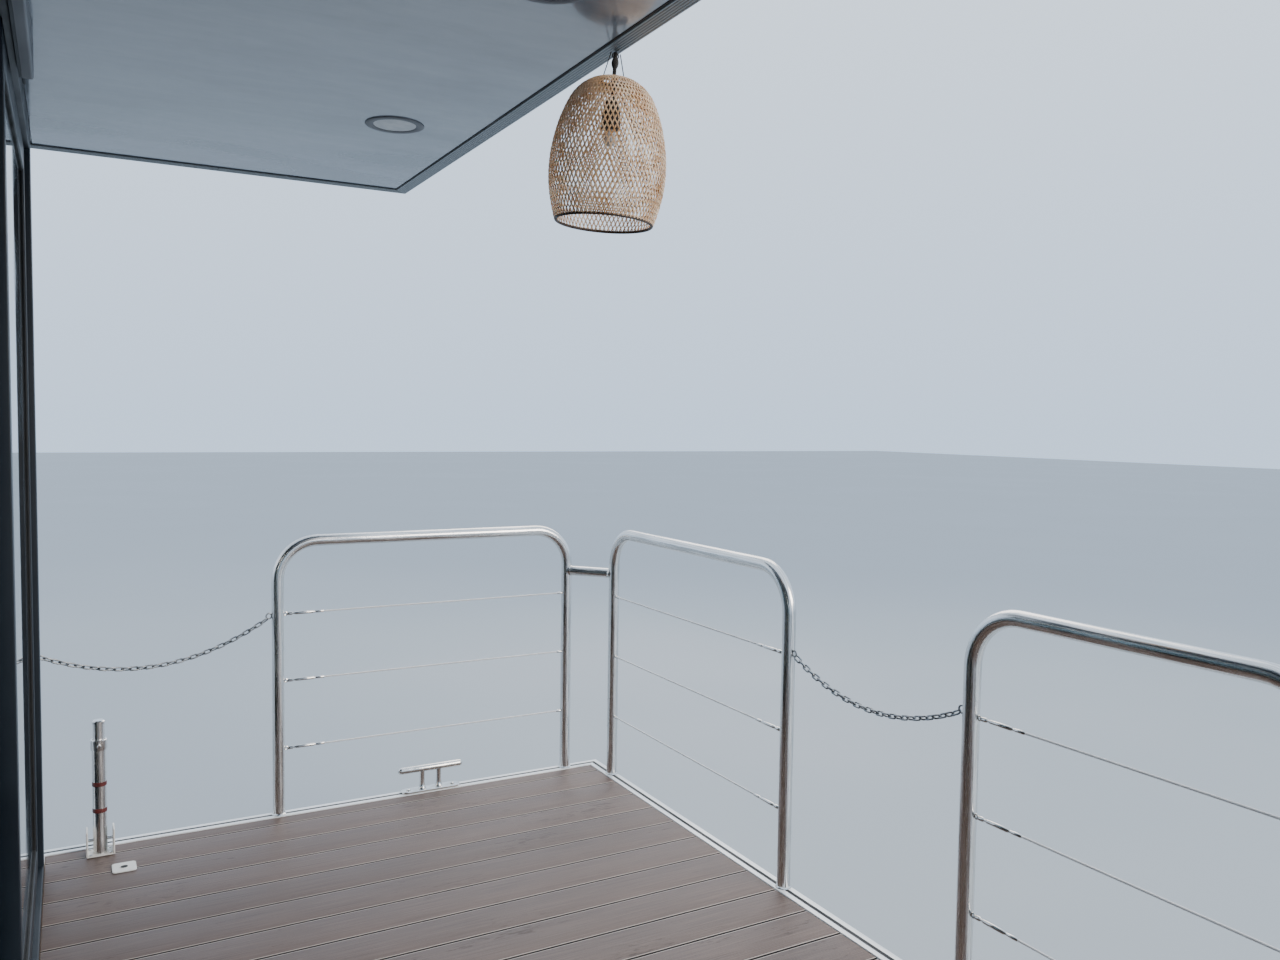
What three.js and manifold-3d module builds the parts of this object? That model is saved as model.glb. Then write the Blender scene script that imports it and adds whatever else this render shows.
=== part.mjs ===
// Houseboat on two pontoons: a flat-roofed cabin with a glazed front, a railed terrace at the bow
// and another at the stern, and an outboard on a bracket behind it.
// Millimetres. +X points to the bow, +Y to port and +Z up. The origin lies under the middle of the
// boat, at the flat bottom of the pontoons.
import * as THREE from "three";
import { mergeVertices } from "three/addons/utils/BufferGeometryUtils.js";
import Module from "manifold-3d";

// Driving dimensions
const overallLength = 12840; // bow edge to the back of the outboard
const deckLength = 12000;
const deckBeam = 5000;
const hullHeight = 850;
const hullWidth = 1300;
const deckTop = 1005; // walking surface of the boards
const terraceDepth = 2041; // bow edge to the glazed front
const sternDeckDepth = 1800;
const cabinWidth = 4720;
const wallThickness = 80;
const ceilingHeight = 2315; // floor to the underside of the roof panel
const roofWidth = 5100;
const roofOverhangFore = 1225; // past the glazed front
const roofOverhangAft = 700;
const railHeight = 1000; // boards to the middle of the top tube
const tubeRadius = 21.2;
const tubeSides = 10;
const seat = 0.3; // gap kept between pieces that rest on each other

// Places worked out from them
const bowX = overallLength / 2;
const sternX = bowX - deckLength;
const deckSide = deckBeam / 2;
const cabinFrontX = bowX - terraceDepth;
const cabinAftX = sternX + sternDeckDepth;
const cabinSide = cabinWidth / 2;
const ceilingZ = deckTop + ceilingHeight;
const roofFrontX = cabinFrontX + roofOverhangFore;
const roofAftX = cabinAftX - roofOverhangAft;
const roofSide = roofWidth / 2;

const trim = { width: 50, bottom: hullHeight, top: deckTop + 3, groove: 10, grooveDepth: 8 };
const boards = { thickness: 40, pitch: 153.5, groove: 5, grooveDepth: 12 };
const frameBottom = hullHeight;
const frameTop = deckTop - boards.thickness;
const innerBowX = bowX - trim.width;
const innerSternX = sternX + trim.width;
const innerSide = deckSide - trim.width;

const wasm = await Module();
wasm.setup();
const { Manifold, Mesh: SolidMesh } = wasm;

const finishes = {
  hullPaint: { color: 0x2f3b44, roughness: 0.55, metalness: 0.1 },
  galvanised: { color: 0x8d9296, roughness: 0.6, metalness: 0.7 },
  edgeAluminium: { color: 0xd4d6d6, roughness: 0.35, metalness: 0.8 },
  deckBoard: { color: 0x7a6660, roughness: 0.85, metalness: 0 },
  floorBoard: { color: 0xa08a72, roughness: 0.6, metalness: 0 },
  wallPanel: { color: 0xd9d7d0, roughness: 0.6, metalness: 0 },
  darkFrame: { color: 0x1d2227, roughness: 0.45, metalness: 0.3 },
  glass: { color: 0x9fb4b8, roughness: 0.05, metalness: 0, transparent: true, opacity: 0.4 },
  roofSkin: { color: 0xb9bcbd, roughness: 0.6, metalness: 0.1 },
  roofAluminium: { color: 0xb8babb, roughness: 0.4, metalness: 0.8 },
  soffit: { color: 0xa9b0b5, roughness: 0.12, metalness: 0.1 },
  cassette: { color: 0xb4b6b9, roughness: 0.5, metalness: 0.1 },
  solarCell: { color: 0x141d2b, roughness: 0.2, metalness: 0.2 },
  interior: { color: 0xe4e1da, roughness: 0.7, metalness: 0 },
  stainless: { color: 0xc3c3c1, roughness: 0.25, metalness: 1 },
  outboardPaint: { color: 0x23272b, roughness: 0.4, metalness: 0.2 },
  bamboo: { color: 0xc79c62, roughness: 0.7, metalness: 0 },
  blackCord: { color: 0x1a1918, roughness: 0.8, metalness: 0 },
};

// Solids from geometries, joined and cut
function solidOf(geometry) {
  const bare = geometry.clone();
  bare.deleteAttribute("normal");
  bare.deleteAttribute("uv");
  const merged = mergeVertices(bare, 1e-4);
  return new Manifold(
    new SolidMesh({
      numProp: 3,
      vertProperties: new Float32Array(merged.attributes.position.array),
      triVerts: new Uint32Array(merged.index.array),
    }),
  );
}

function geometryOf(solid) {
  const mesh = solid.getMesh();
  const geometry = new THREE.BufferGeometry();
  geometry.setAttribute("position", new THREE.BufferAttribute(mesh.vertProperties, 3));
  geometry.setIndex(new THREE.BufferAttribute(mesh.triVerts, 1));
  const faceted = geometry.toNonIndexed();
  faceted.computeVertexNormals();
  return faceted;
}

function join(...geometries) {
  return geometryOf(geometries.map(solidOf).reduce((whole, next) => whole.add(next)));
}

function cut(geometry, ...tools) {
  return geometryOf(tools.map(solidOf).reduce((whole, tool) => whole.subtract(tool), solidOf(geometry)));
}

// Shapes that many pieces share
function block(x0, x1, y0, y1, z0, z1) {
  const geometry = new THREE.BoxGeometry(x1 - x0, y1 - y0, z1 - z0);
  return geometry.translate((x0 + x1) / 2, (y0 + y1) / 2, (z0 + z1) / 2);
}

function outline(points, holes = []) {
  const shape = new THREE.Shape(points.map(([u, v]) => new THREE.Vector2(u, v)));
  for (const hole of holes) shape.holes.push(new THREE.Path(hole.map(([u, v]) => new THREE.Vector2(u, v))));
  return shape;
}

function rectangle(u0, u1, v0, v1) {
  return [[u0, v0], [u1, v0], [u1, v1], [u0, v1]];
}

// A slab whose outline lies in the XY plane, from z0 to z1
function slabZ(points, holes, z0, z1) {
  const shape = outline(points, holes);
  const geometry = new THREE.ExtrudeGeometry(shape, { depth: z1 - z0, bevelEnabled: false });
  return geometry.translate(0, 0, z0);
}

// A slab whose outline lies in the XZ plane, from y0 to y1
function slabY(points, holes, y0, y1) {
  const shape = outline(points, holes);
  const geometry = new THREE.ExtrudeGeometry(shape, { depth: y1 - y0, bevelEnabled: false });
  return geometry.rotateX(Math.PI / 2).translate(0, y1, 0);
}

// A slab whose outline lies in the YZ plane, from x0 to x1
function slabX(points, holes, x0, x1) {
  const shape = outline(points, holes);
  const geometry = new THREE.ExtrudeGeometry(shape, { depth: x1 - x0, bevelEnabled: false });
  return geometry.rotateY(Math.PI / 2).rotateX(Math.PI / 2).translate(x0, 0, 0);
}

// A cylinder between two points
function rod(from, to, radius, sides = 10) {
  const start = new THREE.Vector3(...from);
  const along = new THREE.Vector3(...to).sub(start);
  const geometry = new THREE.CylinderGeometry(radius, radius, along.length(), sides);
  geometry.translate(0, along.length() / 2, 0);
  const turn = new THREE.Quaternion().setFromUnitVectors(new THREE.Vector3(0, 1, 0), along.normalize());
  return geometry.applyQuaternion(turn).translate(...from);
}

// A path through stations, with one step of a swept tube between each two of them
class StationPath extends THREE.Curve {
  constructor(stations) {
    super();
    this.stations = stations.map((station) => new THREE.Vector3(...station));
  }

  getPoint(t, target = new THREE.Vector3()) {
    const place = t * (this.stations.length - 1);
    const first = Math.min(Math.floor(place + 1e-9), this.stations.length - 2);
    return target.lerpVectors(this.stations[first], this.stations[first + 1], place - first);
  }

  getPointAt(t, target) {
    return this.getPoint(t, target);
  }

  getTangentAt(t, target) {
    return this.getTangent(t, target);
  }
}

function tube(stations, radius, sides = tubeSides) {
  const section = new THREE.Shape();
  for (let side = 0; side < sides; side += 1) {
    const angle = ((side + 0.5) / sides) * 2 * Math.PI;
    const point = [radius * Math.cos(angle), radius * Math.sin(angle)];
    if (side === 0) section.moveTo(...point);
    else section.lineTo(...point);
  }
  section.closePath();
  const extrudePath = new StationPath(stations);
  const steps = stations.length - 1;
  return new THREE.ExtrudeGeometry(section, { steps, extrudePath, bevelEnabled: false });
}

// A section carried round a rectangle with mitred corners; its points are [distance outwards, height]
function rim(section, x0, x1, y0, y1) {
  const corners = [
    // x, y, outward x, outward y
    [x1, y1, 1, 1],
    [x0, y1, -1, 1],
    [x0, y0, -1, -1],
    [x1, y0, 1, -1],
  ];
  const positions = corners.flatMap(([x, y, outX, outY]) =>
    section.flatMap(([out, z]) => [x + outX * out, y + outY * out, z]),
  );
  const index = [];
  const count = section.length;
  for (let corner = 0; corner < corners.length; corner += 1) {
    const next = (corner + 1) % corners.length;
    for (let point = 0; point < count; point += 1) {
      const after = (point + 1) % count;
      const a = corner * count + point;
      const b = corner * count + after;
      const c = next * count + after;
      const d = next * count + point;
      index.push(a, c, b, a, d, c);
    }
  }
  const geometry = new THREE.BufferGeometry();
  geometry.setAttribute("position", new THREE.Float32BufferAttribute(positions, 3));
  geometry.setIndex(index);
  const faceted = geometry.toNonIndexed();
  faceted.computeVertexNormals();
  return faceted;
}

// The boat, and how a piece is added to it or to a group in it
const houseboat = new THREE.Group();

function piece(name, geometry, finish, parent = houseboat) {
  const mesh = new THREE.Mesh(geometry, new THREE.MeshStandardMaterial(finishes[finish]));
  mesh.name = name;
  parent.add(mesh);
  return mesh;
}

// Pontoons: a side view and a chined cross-section, each carried through, and what both share
function pontoon(inner, outer) {
  const rake = { bow: 780, stern: 420, shoulder: 380, chine: 110 };
  const bow = innerBowX;
  const stern = innerSternX;
  const side = slabY(
    [
      [stern, hullHeight],
      [stern, rake.shoulder],
      [stern + rake.stern, 0],
      [bow - rake.bow, 0],
      [bow, rake.shoulder],
      [bow, hullHeight],
    ],
    [],
    inner,
    outer,
  );
  const section = slabX(
    [
      [inner, hullHeight],
      [inner, rake.chine],
      [inner + rake.chine, 0],
      [outer - rake.chine, 0],
      [outer, rake.chine],
      [outer, hullHeight],
    ],
    [],
    stern,
    bow,
  );
  return geometryOf(solidOf(side).intersect(solidOf(section)));
}

const pontoonOuter = innerSide - 10;
const pontoonInner = pontoonOuter - hullWidth;
piece("hull_port", pontoon(pontoonInner, pontoonOuter), "hullPaint");
piece("hull_starboard", pontoon(-pontoonOuter, -pontoonInner), "hullPaint");

// Deck frame: a grid of welded beams across both pontoons
function deckFrame() {
  const beam = 100;
  const bays = { along: 10, across: 4 };
  const pitchX = (innerBowX - innerSternX - beam) / bays.along;
  const pitchY = (2 * innerSide - beam) / bays.across;
  const gaps = [];
  for (let i = 0; i < bays.along; i += 1) {
    for (let j = 0; j < bays.across; j += 1) {
      const x = innerSternX + beam + i * pitchX;
      const y = -innerSide + beam + j * pitchY;
      gaps.push(block(x, x + pitchX - beam, y, y + pitchY - beam, frameBottom - 1, frameTop + 1));
    }
  }
  return cut(block(innerSternX, innerBowX, -innerSide, innerSide, frameBottom, frameTop), ...gaps);
}
piece("deck_frame", deckFrame(), "galvanised");

// Edge profile of the deck, two strips with a groove between them
function deckEdge() {
  const { width, bottom, top, groove, grooveDepth } = trim;
  const near = (width - groove) / 2;
  const section = [
    [-width + seat, bottom],
    [0, bottom],
    [0, top],
    [-near, top],
    [-near, top - grooveDepth],
    [-near - groove, top - grooveDepth],
    [-near - groove, top],
    [-width + seat, top],
  ];
  return rim(section, sternX, bowX, -deckSide, deckSide);
}
piece("deck_edge_trim", deckEdge(), "edgeAluminium");

// Deck boards along the boat, one board centred, with open joints between them
function deckBoards(x0, x1) {
  const side = innerSide - seat;
  const joints = [];
  for (let y = boards.pitch / 2; y < side - boards.groove; y += boards.pitch) joints.push(-y, y);
  joints.sort((a, b) => a - b);
  const top = [[-side, deckTop]];
  for (const y of joints) {
    const left = y - boards.groove / 2;
    const right = y + boards.groove / 2;
    const floor = deckTop - boards.grooveDepth;
    top.push([left, deckTop], [left, floor], [right, floor], [right, deckTop]);
  }
  top.push([side, deckTop], [side, frameTop], [-side, frameTop]);
  return slabX(top, [], x0, x1);
}
piece("bow_deck_boards", deckBoards(cabinFrontX + seat, innerBowX - seat), "deckBoard");
piece("stern_deck_boards", deckBoards(innerSternX + seat, cabinAftX - seat), "deckBoard");
const floorSide = innerSide - seat;
piece("cabin_floor", block(cabinAftX, cabinFrontX, -floorSide, floorSide, frameTop, deckTop), "floorBoard");

// Cabin walls, whole sandwich panels with their windows cut, and the panes in them
const frontFrame = { depth: 120, jamb: 70, head: 70, sill: 30 };
const frontFrameAft = cabinFrontX - frontFrame.depth;
const paneThickness = 24;
const sideWindows = [
  // name, start and end along X from the glazed front, sill and head above the floor
  { name: "fore", start: -2700, end: -700, sill: 250, head: 2050 },
  { name: "aft", start: -7000, end: -5800, sill: 900, head: 2050 },
];

const chainEye = { x: cabinFrontX - 140, z: deckTop + 740, size: 20, reach: 55 };

function sideWall(sign) {
  const inner = cabinSide - wallThickness;
  const holes = sideWindows.map(({ start, end, sill, head }) =>
    rectangle(cabinFrontX + start, cabinFrontX + end, deckTop + sill, deckTop + head),
  );
  const whole = rectangle(cabinAftX, frontFrameAft - seat, deckTop, ceilingZ - seat);
  const panel = sign > 0 ? slabY(whole, holes, inner, cabinSide) : slabY(whole, holes, -cabinSide, -inner);
  const half = chainEye.size / 2;
  const eyeRoot = cabinSide - 5;
  const eyeTip = cabinSide + chainEye.reach;
  const eyeY = sign > 0 ? [eyeRoot, eyeTip] : [-eyeTip, -eyeRoot];
  const eye = block(chainEye.x - half, chainEye.x + half, ...eyeY, chainEye.z - half, chainEye.z + half);
  return join(panel, eye);
}

function sidePane({ start, end, sill, head }, sign) {
  const middle = sign * (cabinSide - wallThickness / 2);
  return block(
    cabinFrontX + start + seat,
    cabinFrontX + end - seat,
    middle - paneThickness / 2,
    middle + paneThickness / 2,
    deckTop + sill + seat,
    deckTop + head - seat,
  );
}

const sides = [
  { name: "port", sign: 1 },
  { name: "starboard", sign: -1 },
];
for (const { name, sign } of sides) {
  piece(`wall_${name}`, sideWall(sign), "wallPanel");
  for (const window of sideWindows) piece(`window_${name}_${window.name}`, sidePane(window, sign), "glass");
}

const door = {
  y0: -1350,
  y1: -450,
  head: 2060,
  thickness: 45,
  gap: 8, // round the leaf
  floorGap: 12,
  proud: 1, // of the wall's aft face
  pane: { edge: 130, sill: 900 },
  // how far the stem and the grip stand out, and their lengths, from the leaf's free edge
  handle: { height: 1020, thickness: 25, edge: 75, stem: 20, stemOut: 40, grip: 115, gripOut: [35, 50] },
};
const hinge = {
  radius: 11,
  length: 40,
  endGap: 0.4,
  fromEnds: 300,
  wing: { inset: 2, out: 4, skin: 3, into: 6, wall: [4, 30], door: [14, 45] },
};

function aftWall() {
  const side = cabinSide - wallThickness - seat;
  const whole = rectangle(-side, side, deckTop, ceilingZ - seat);
  const hole = rectangle(door.y0, door.y1, deckTop - 1, deckTop + door.head);
  const panel = cut(
    slabX(whole, [], cabinAftX, cabinAftX + wallThickness),
    slabX(hole, [], cabinAftX - 1, cabinAftX + wallThickness + 1),
  );
  return join(panel, ...hingeBarrels(true));
}

// Aft door: two hinges on its starboard edge, each a door barrel between two wall barrels
function hingeBarrels(onWall) {
  const { radius, length, endGap, fromEnds, wing } = hinge;
  const x = cabinAftX - radius - door.proud;
  const y = door.y0 - radius / 2;
  return [fromEnds, door.head - fromEnds].flatMap((height) => {
    const middle = deckTop + height;
    const spans = onWall
      ? [[middle - 1.5 * length, middle - length / 2], [middle + length / 2, middle + 1.5 * length]]
      : [[middle - length / 2 + endGap, middle + length / 2 - endGap]];
    return spans.flatMap(([low, high]) => {
      const z = [low + wing.inset, high - wing.inset];
      const [near, far] = wing.door.map((along) => door.y0 + along);
      const wings = onWall
        ? [block(x, cabinAftX + wing.into, y - wing.wall[1], y - wing.wall[0], ...z)]
        : [
            block(x - wing.out, cabinAftX - door.proud, y, far, ...z),
            block(cabinAftX - wing.skin, cabinAftX + wing.into, near, far, ...z),
          ];
      return [rod([x, y, low], [x, y, high], radius, 12), ...wings];
    });
  });
}

function aftDoor() {
  const { y0, y1, head, thickness, gap, floorGap, proud, pane, handle } = door;
  const whole = rectangle(y0 + gap, y1 - gap, deckTop + floorGap, deckTop + head - gap);
  const hole = rectangle(y0 + pane.edge, y1 - pane.edge, deckTop + pane.sill, deckTop + head - pane.edge);
  const leaf = slabX(whole, [hole], cabinAftX + proud, cabinAftX + proud + thickness);
  const free = y1 - handle.edge;
  const z = [deckTop + handle.height, deckTop + handle.height + handle.thickness];
  const stem = block(cabinAftX - handle.stemOut, cabinAftX + 5, free - handle.stem, free, ...z);
  const [near, far] = handle.gripOut;
  const grip = block(cabinAftX - far, cabinAftX - near, free - handle.grip, free, ...z);
  return join(leaf, stem, grip, ...hingeBarrels(false));
}

const aftPaneX = cabinAftX + door.proud + door.thickness / 2;
piece("wall_aft", aftWall(), "wallPanel");
piece("aft_door", aftDoor(), "darkFrame");
piece(
  "aft_door_pane",
  block(
    aftPaneX - paneThickness / 2,
    aftPaneX + paneThickness / 2,
    door.y0 + door.pane.edge + seat,
    door.y1 - door.pane.edge - seat,
    deckTop + door.pane.sill + seat,
    deckTop + door.head - door.pane.edge - seat,
  ),
  "glass",
);

// Glazed front: a frame with two fixed leaves in its outer track and two sliding ones behind them
const leaf = { thickness: 40, stile: 62, rail: 75, clearance: 5, lap: 45, fromFront: 15, trackGap: 10 };
const shoe = { length: 60, fromEnd: 150, inset: 12, into: 10 };
const frontOpening = {
  side: cabinSide - frontFrame.jamb,
  low: deckTop + frontFrame.sill,
  high: ceilingZ - seat - frontFrame.head,
};
piece(
  "front_frame",
  slabX(
    rectangle(-cabinSide, cabinSide, deckTop, ceilingZ - seat),
    [rectangle(-frontOpening.side, frontOpening.side, frontOpening.low, frontOpening.high)],
    frontFrameAft,
    cabinFrontX,
  ),
  "darkFrame",
);

const outerTrackX = cabinFrontX - leaf.fromFront - leaf.thickness;
const innerTrackX = outerTrackX - leaf.trackGap - leaf.thickness;
const meetingY = frontOpening.side / 2;
const frontLeaves = [
  // name, aft face, start and end across the port half, gap at the frame
  { name: "fixed", x: outerTrackX, y0: meetingY - leaf.lap / 2, y1: frontOpening.side - seat, gap: seat },
  { name: "sliding", x: innerTrackX, y0: 3, y1: meetingY + leaf.lap / 2, gap: leaf.clearance },
];

function frontLeaf({ x, y0, y1, gap }, sign) {
  const low = frontOpening.low + gap;
  const high = frontOpening.high - gap;
  const span = sign > 0 ? [y0, y1] : [-y1, -y0];
  const whole = rectangle(...span, low, high);
  const hole = rectangle(span[0] + leaf.stile, span[1] - leaf.stile, low + leaf.rail, high - leaf.rail);
  const frame = slabX(whole, [hole], x, x + leaf.thickness);
  if (gap === seat) return frame;
  const { length, fromEnd, inset, into } = shoe;
  const shoes = [span[0] + fromEnd, span[1] - fromEnd - length].map((y) =>
    block(x + inset, x + leaf.thickness - inset, y, y + length, frontOpening.low + seat, low + into),
  );
  return join(frame, ...shoes);
}

function frontPane({ x, y0, y1, gap }, sign) {
  const inside = leaf.stile + seat;
  const span = sign > 0 ? [y0 + inside, y1 - inside] : [-y1 + inside, -y0 - inside];
  const low = frontOpening.low + gap + leaf.rail + seat;
  const high = frontOpening.high - gap - leaf.rail - seat;
  const middle = x + leaf.thickness / 2;
  return block(middle - paneThickness / 2, middle + paneThickness / 2, ...span, low, high);
}

for (const { name, sign } of sides) {
  for (const row of frontLeaves) {
    piece(`front_${row.name}_leaf_${name}`, frontLeaf(row, sign), "darkFrame");
    piece(`front_${row.name}_pane_${name}`, frontPane(row, sign), "glass");
  }
}

// Inside: a partition with a doorway, and a kitchen counter along the starboard wall
const partition = { x: cabinFrontX - 5000, thickness: 60, doorY: [500, 1350], head: 2050 };

function cabinPartition() {
  const side = cabinSide - wallThickness - seat;
  const whole = rectangle(-side, side, deckTop, ceilingZ - seat);
  const hole = rectangle(...partition.doorY, deckTop - 1, deckTop + partition.head);
  const { x, thickness } = partition;
  return cut(slabX(whole, [], x, x + thickness), slabX(hole, [], x - 1, x + thickness + 1));
}

const counter = { length: 1900, depth: 580, height: 880 };
const worktop = { length: 1920, depth: 620, low: 870, high: 910 };

function kitchenCounter() {
  const wall = -(cabinSide - wallThickness - seat);
  const start = partition.x + partition.thickness + seat;
  const at = ({ length, depth }, low, high) =>
    block(start, start + length, wall, wall + depth, deckTop + low, deckTop + high);
  return join(at(counter, 0, counter.height), at(worktop, worktop.low, worktop.high));
}
piece("cabin_partition", cabinPartition(), "interior");
piece("kitchen_counter", kitchenCounter(), "interior");

// Roof: a sandwich panel inside an edge profile, with a hatch over the cabin
const lip = { width: 46, bottom: deckTop + 2303, top: deckTop + 2453 };
const roofPanelTop = lip.top - 8;
const hatch = { x0: -2600, x1: -1900, side: 350, curb: 40, curbHeight: 60, rim: 30, lid: 40, lidGap: 5 };
const dome = { inset: 70, rise: 25 };
const hatchSeat = roofPanelTop + hatch.curbHeight;
const hatchAxis = {
  x: hatch.x0 - hatch.curb - hatch.rim - 16,
  z: hatchSeat + 14,
  radius: 10,
  ear: [150, 200],
};

function roofPanel() {
  const x0 = roofAftX + lip.width;
  const x1 = roofFrontX - lip.width;
  const side = roofSide - lip.width;
  const opening = rectangle(hatch.x0, hatch.x1, -hatch.side, hatch.side);
  const panel = slabZ(rectangle(x0, x1, -side, side), [opening], ceilingZ, roofPanelTop);
  const curbOutline = rectangle(
    hatch.x0 - hatch.curb,
    hatch.x1 + hatch.curb,
    -hatch.side - hatch.curb,
    hatch.side + hatch.curb,
  );
  const curb = slabZ(curbOutline, [opening], roofPanelTop - 5, hatchSeat);
  const ears = [-1, 1].flatMap((sign) => {
    const { x, z, radius, ear } = hatchAxis;
    const [near, far] = ear.map((y) => sign * y);
    return [
      block(x - radius, x + radius, Math.min(near, far), Math.max(near, far), roofPanelTop - 5, z),
      rod([x, near, z], [x, far, z], radius, 12),
    ];
  });
  return join(panel, curb, ...ears);
}

function hatchLid() {
  const low = hatchSeat + hatch.lidGap;
  const high = low + hatch.lid;
  const edge = hatch.curb + hatch.rim;
  const x0 = hatch.x0 - edge;
  const x1 = hatch.x1 + edge;
  const side = hatch.side + edge;
  const frame = block(x0, x1, -side, side, low, high);
  const inner = side - dome.inset;
  const cover = block(x0 + dome.inset, x1 - dome.inset, -inner, inner, high - 5, high + dome.rise);
  const { x, z, radius, ear } = hatchAxis;
  const reach = ear[0] - 0.5;
  const barrel = rod([x, -reach, z], [x, reach, z], radius, 12);
  const strap = block(x, x0 + 20, -reach + 9.5, reach - 9.5, z - 6, z + 8);
  return join(frame, cover, barrel, strap);
}

function lipRing() {
  const section = [
    [-lip.width + seat, lip.bottom],
    [0, lip.bottom],
    [0, lip.top],
    [-lip.width + seat, lip.top],
  ];
  return rim(section, roofAftX, roofFrontX, -roofSide, roofSide);
}

// The terrace soffit: a gloss panel with four flush lamps let into it
const soffit = { bottom: lip.bottom + 4, lampX: bowX - 1103, lampY: [557, 1672], lampRadius: 85 };

function bowSoffit() {
  const side = roofSide - lip.width - seat;
  const fore = roofFrontX - lip.width - seat;
  const panel = block(cabinFrontX + seat, fore, -side, side, soffit.bottom, ceilingZ - seat);
  const lamps = soffit.lampY.flatMap((y) => [-y, y]).map((y) => {
    const ring = new THREE.CylinderGeometry(soffit.lampRadius, soffit.lampRadius - 4, 8, 24);
    return ring.rotateX(Math.PI / 2).translate(soffit.lampX, y, soffit.bottom);
  });
  return join(panel, ...lamps);
}

// Light box under the soffit, along the glazed front
const cassette = { depth: 31, height: 80, side: 1771 };

// Four solar panels on two bars, each bar on three feet
const solar = { length: 1720, width: 1134, thickness: 35, gap: 20, count: 4, middleX: 2500, above: 70 };
const solarBar = { y: 500, half: 20, depth: 40, into: 5, past: 40, foot: 40, footSteps: [0, 1.5, 3] };

function solarArray() {
  const bottom = lip.top + solar.above;
  const pitch = solar.width + solar.gap;
  const start = solar.middleX - (solar.count * pitch - solar.gap) / 2;
  const end = start + solar.count * pitch - solar.gap;
  const side = solar.length / 2;
  const panels = Array.from({ length: solar.count }, (_, i) => {
    const x = start + i * pitch;
    return block(x, x + solar.width, -side, side, bottom, bottom + solar.thickness);
  });
  const { half, depth, into, past, foot, footSteps } = solarBar;
  const supports = [-solarBar.y, solarBar.y].flatMap((y) => [
    block(start - past, end + past, y - half, y + half, bottom - depth, bottom + into),
    ...footSteps.map((step) => {
      const x = start + (step + 0.5) * pitch;
      return block(x - foot, x + foot, y - foot, y + foot, roofPanelTop, bottom - depth + into);
    }),
  ]);
  return join(...panels, ...supports);
}

piece("roof_panel", roofPanel(), "roofSkin");
piece("roof_edge_lip", lipRing(), "roofAluminium");
piece("roof_hatch_lid", hatchLid(), "darkFrame");
piece("bow_soffit", bowSoffit(), "soffit");
piece(
  "door_cassette",
  block(
    cabinFrontX + seat,
    cabinFrontX + cassette.depth,
    -cassette.side,
    cassette.side,
    soffit.bottom - seat - cassette.height,
    soffit.bottom - seat,
  ),
  "cassette",
);
piece("solar_array", solarArray(), "solarCell");

// Rails: bays of bent tube with three wires, set on the edge profile
const railFoot = trim.top + seat;
const railTop = deckTop + railHeight;
const bend = { radius: 140, steps: 4 };
const wire = { radius: 3, heights: [243, 492, 737] };
const sideRailY = deckSide - 23;

// One bay: a tube up, round two bends and down again, its wires, and any posts between
function railBay([startX, startY], [endX, endY], between = []) {
  const along = new THREE.Vector2(endX - startX, endY - startY);
  const length = along.length();
  along.normalize();
  const at = (distance, z) => [startX + along.x * distance, startY + along.y * distance, z];
  const arc = Array.from({ length: bend.steps + 1 }, (_, i) => (i / bend.steps) * (Math.PI / 2));
  const rise = (angle) => railTop - bend.radius + bend.radius * Math.sin(angle);
  const stations = [
    at(0, railFoot),
    ...arc.map((angle) => at(bend.radius * (1 - Math.cos(angle)), rise(angle))),
    ...arc.reverse().map((angle) => at(length - bend.radius * (1 - Math.cos(angle)), rise(angle))),
    at(length, railFoot),
  ];
  const wires = wire.heights.map((height) => {
    const z = deckTop + height;
    return rod(at(0, z), at(length, z), wire.radius, 6);
  });
  const posts = between.map((distance) =>
    rod(at(distance, railFoot), at(distance, railTop), tubeRadius, tubeSides),
  );
  return [tube(stations, tubeRadius), ...wires, ...posts];
}

// A short tube that ties the side bay's corner post to the end bay's
function cornerLink(from, to) {
  const z = deckTop + corner.linkHeight;
  return rod([...from, z], [...to, z], corner.linkRadius, tubeSides);
}

const corner = { alongSide: 158, acrossEnd: 185, fromEnd: 20, linkHeight: 830, linkRadius: 20 };
const gate = { outer: 1153, inner: 418 };
const bowRailX = bowX - corner.fromEnd;
const bowCornerX = bowX - corner.alongSide;
const bowSidePostX = bowX - 1303;
const cornerPostY = deckSide - corner.acrossEnd;
const sternRailX = sternX + corner.fromEnd;
const sternCornerX = sternX + corner.alongSide;
const sternSidePostX = cabinAftX - 120;
const sternSideLength = sternSidePostX - sternCornerX;

for (const { name, sign } of sides) {
  const cornerPost = [bowCornerX, sign * sideRailY];
  const endPost = [bowRailX, sign * cornerPostY];
  piece(
    `bow_rail_${name}`,
    join(
      ...railBay([bowSidePostX, sign * sideRailY], cornerPost),
      cornerLink(cornerPost, endPost),
      ...railBay(endPost, [bowRailX, sign * gate.outer]),
    ),
    "stainless",
  );
}
piece("bow_rail_centre", join(...railBay([bowRailX, gate.inner], [bowRailX, -gate.inner])), "stainless");

const sternEnds = [
  // side, sign, inner end of the bay across the stern, posts between, measured from the corner
  { name: "port", sign: 1, end: gate.outer, between: [] },
  { name: "starboard", sign: -1, end: gate.inner, between: [911, 1822] },
];
for (const { name, sign, end, between } of sternEnds) {
  const cornerPost = [sternCornerX, sign * sideRailY];
  const endPost = [sternRailX, sign * cornerPostY];
  piece(
    `stern_rail_${name}`,
    join(
      ...railBay([sternSidePostX, sign * sideRailY], cornerPost, [sternSideLength / 2]),
      cornerLink(cornerPost, endPost),
      ...railBay(endPost, [sternRailX, end], between),
    ),
    "stainless",
  );
}

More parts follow.
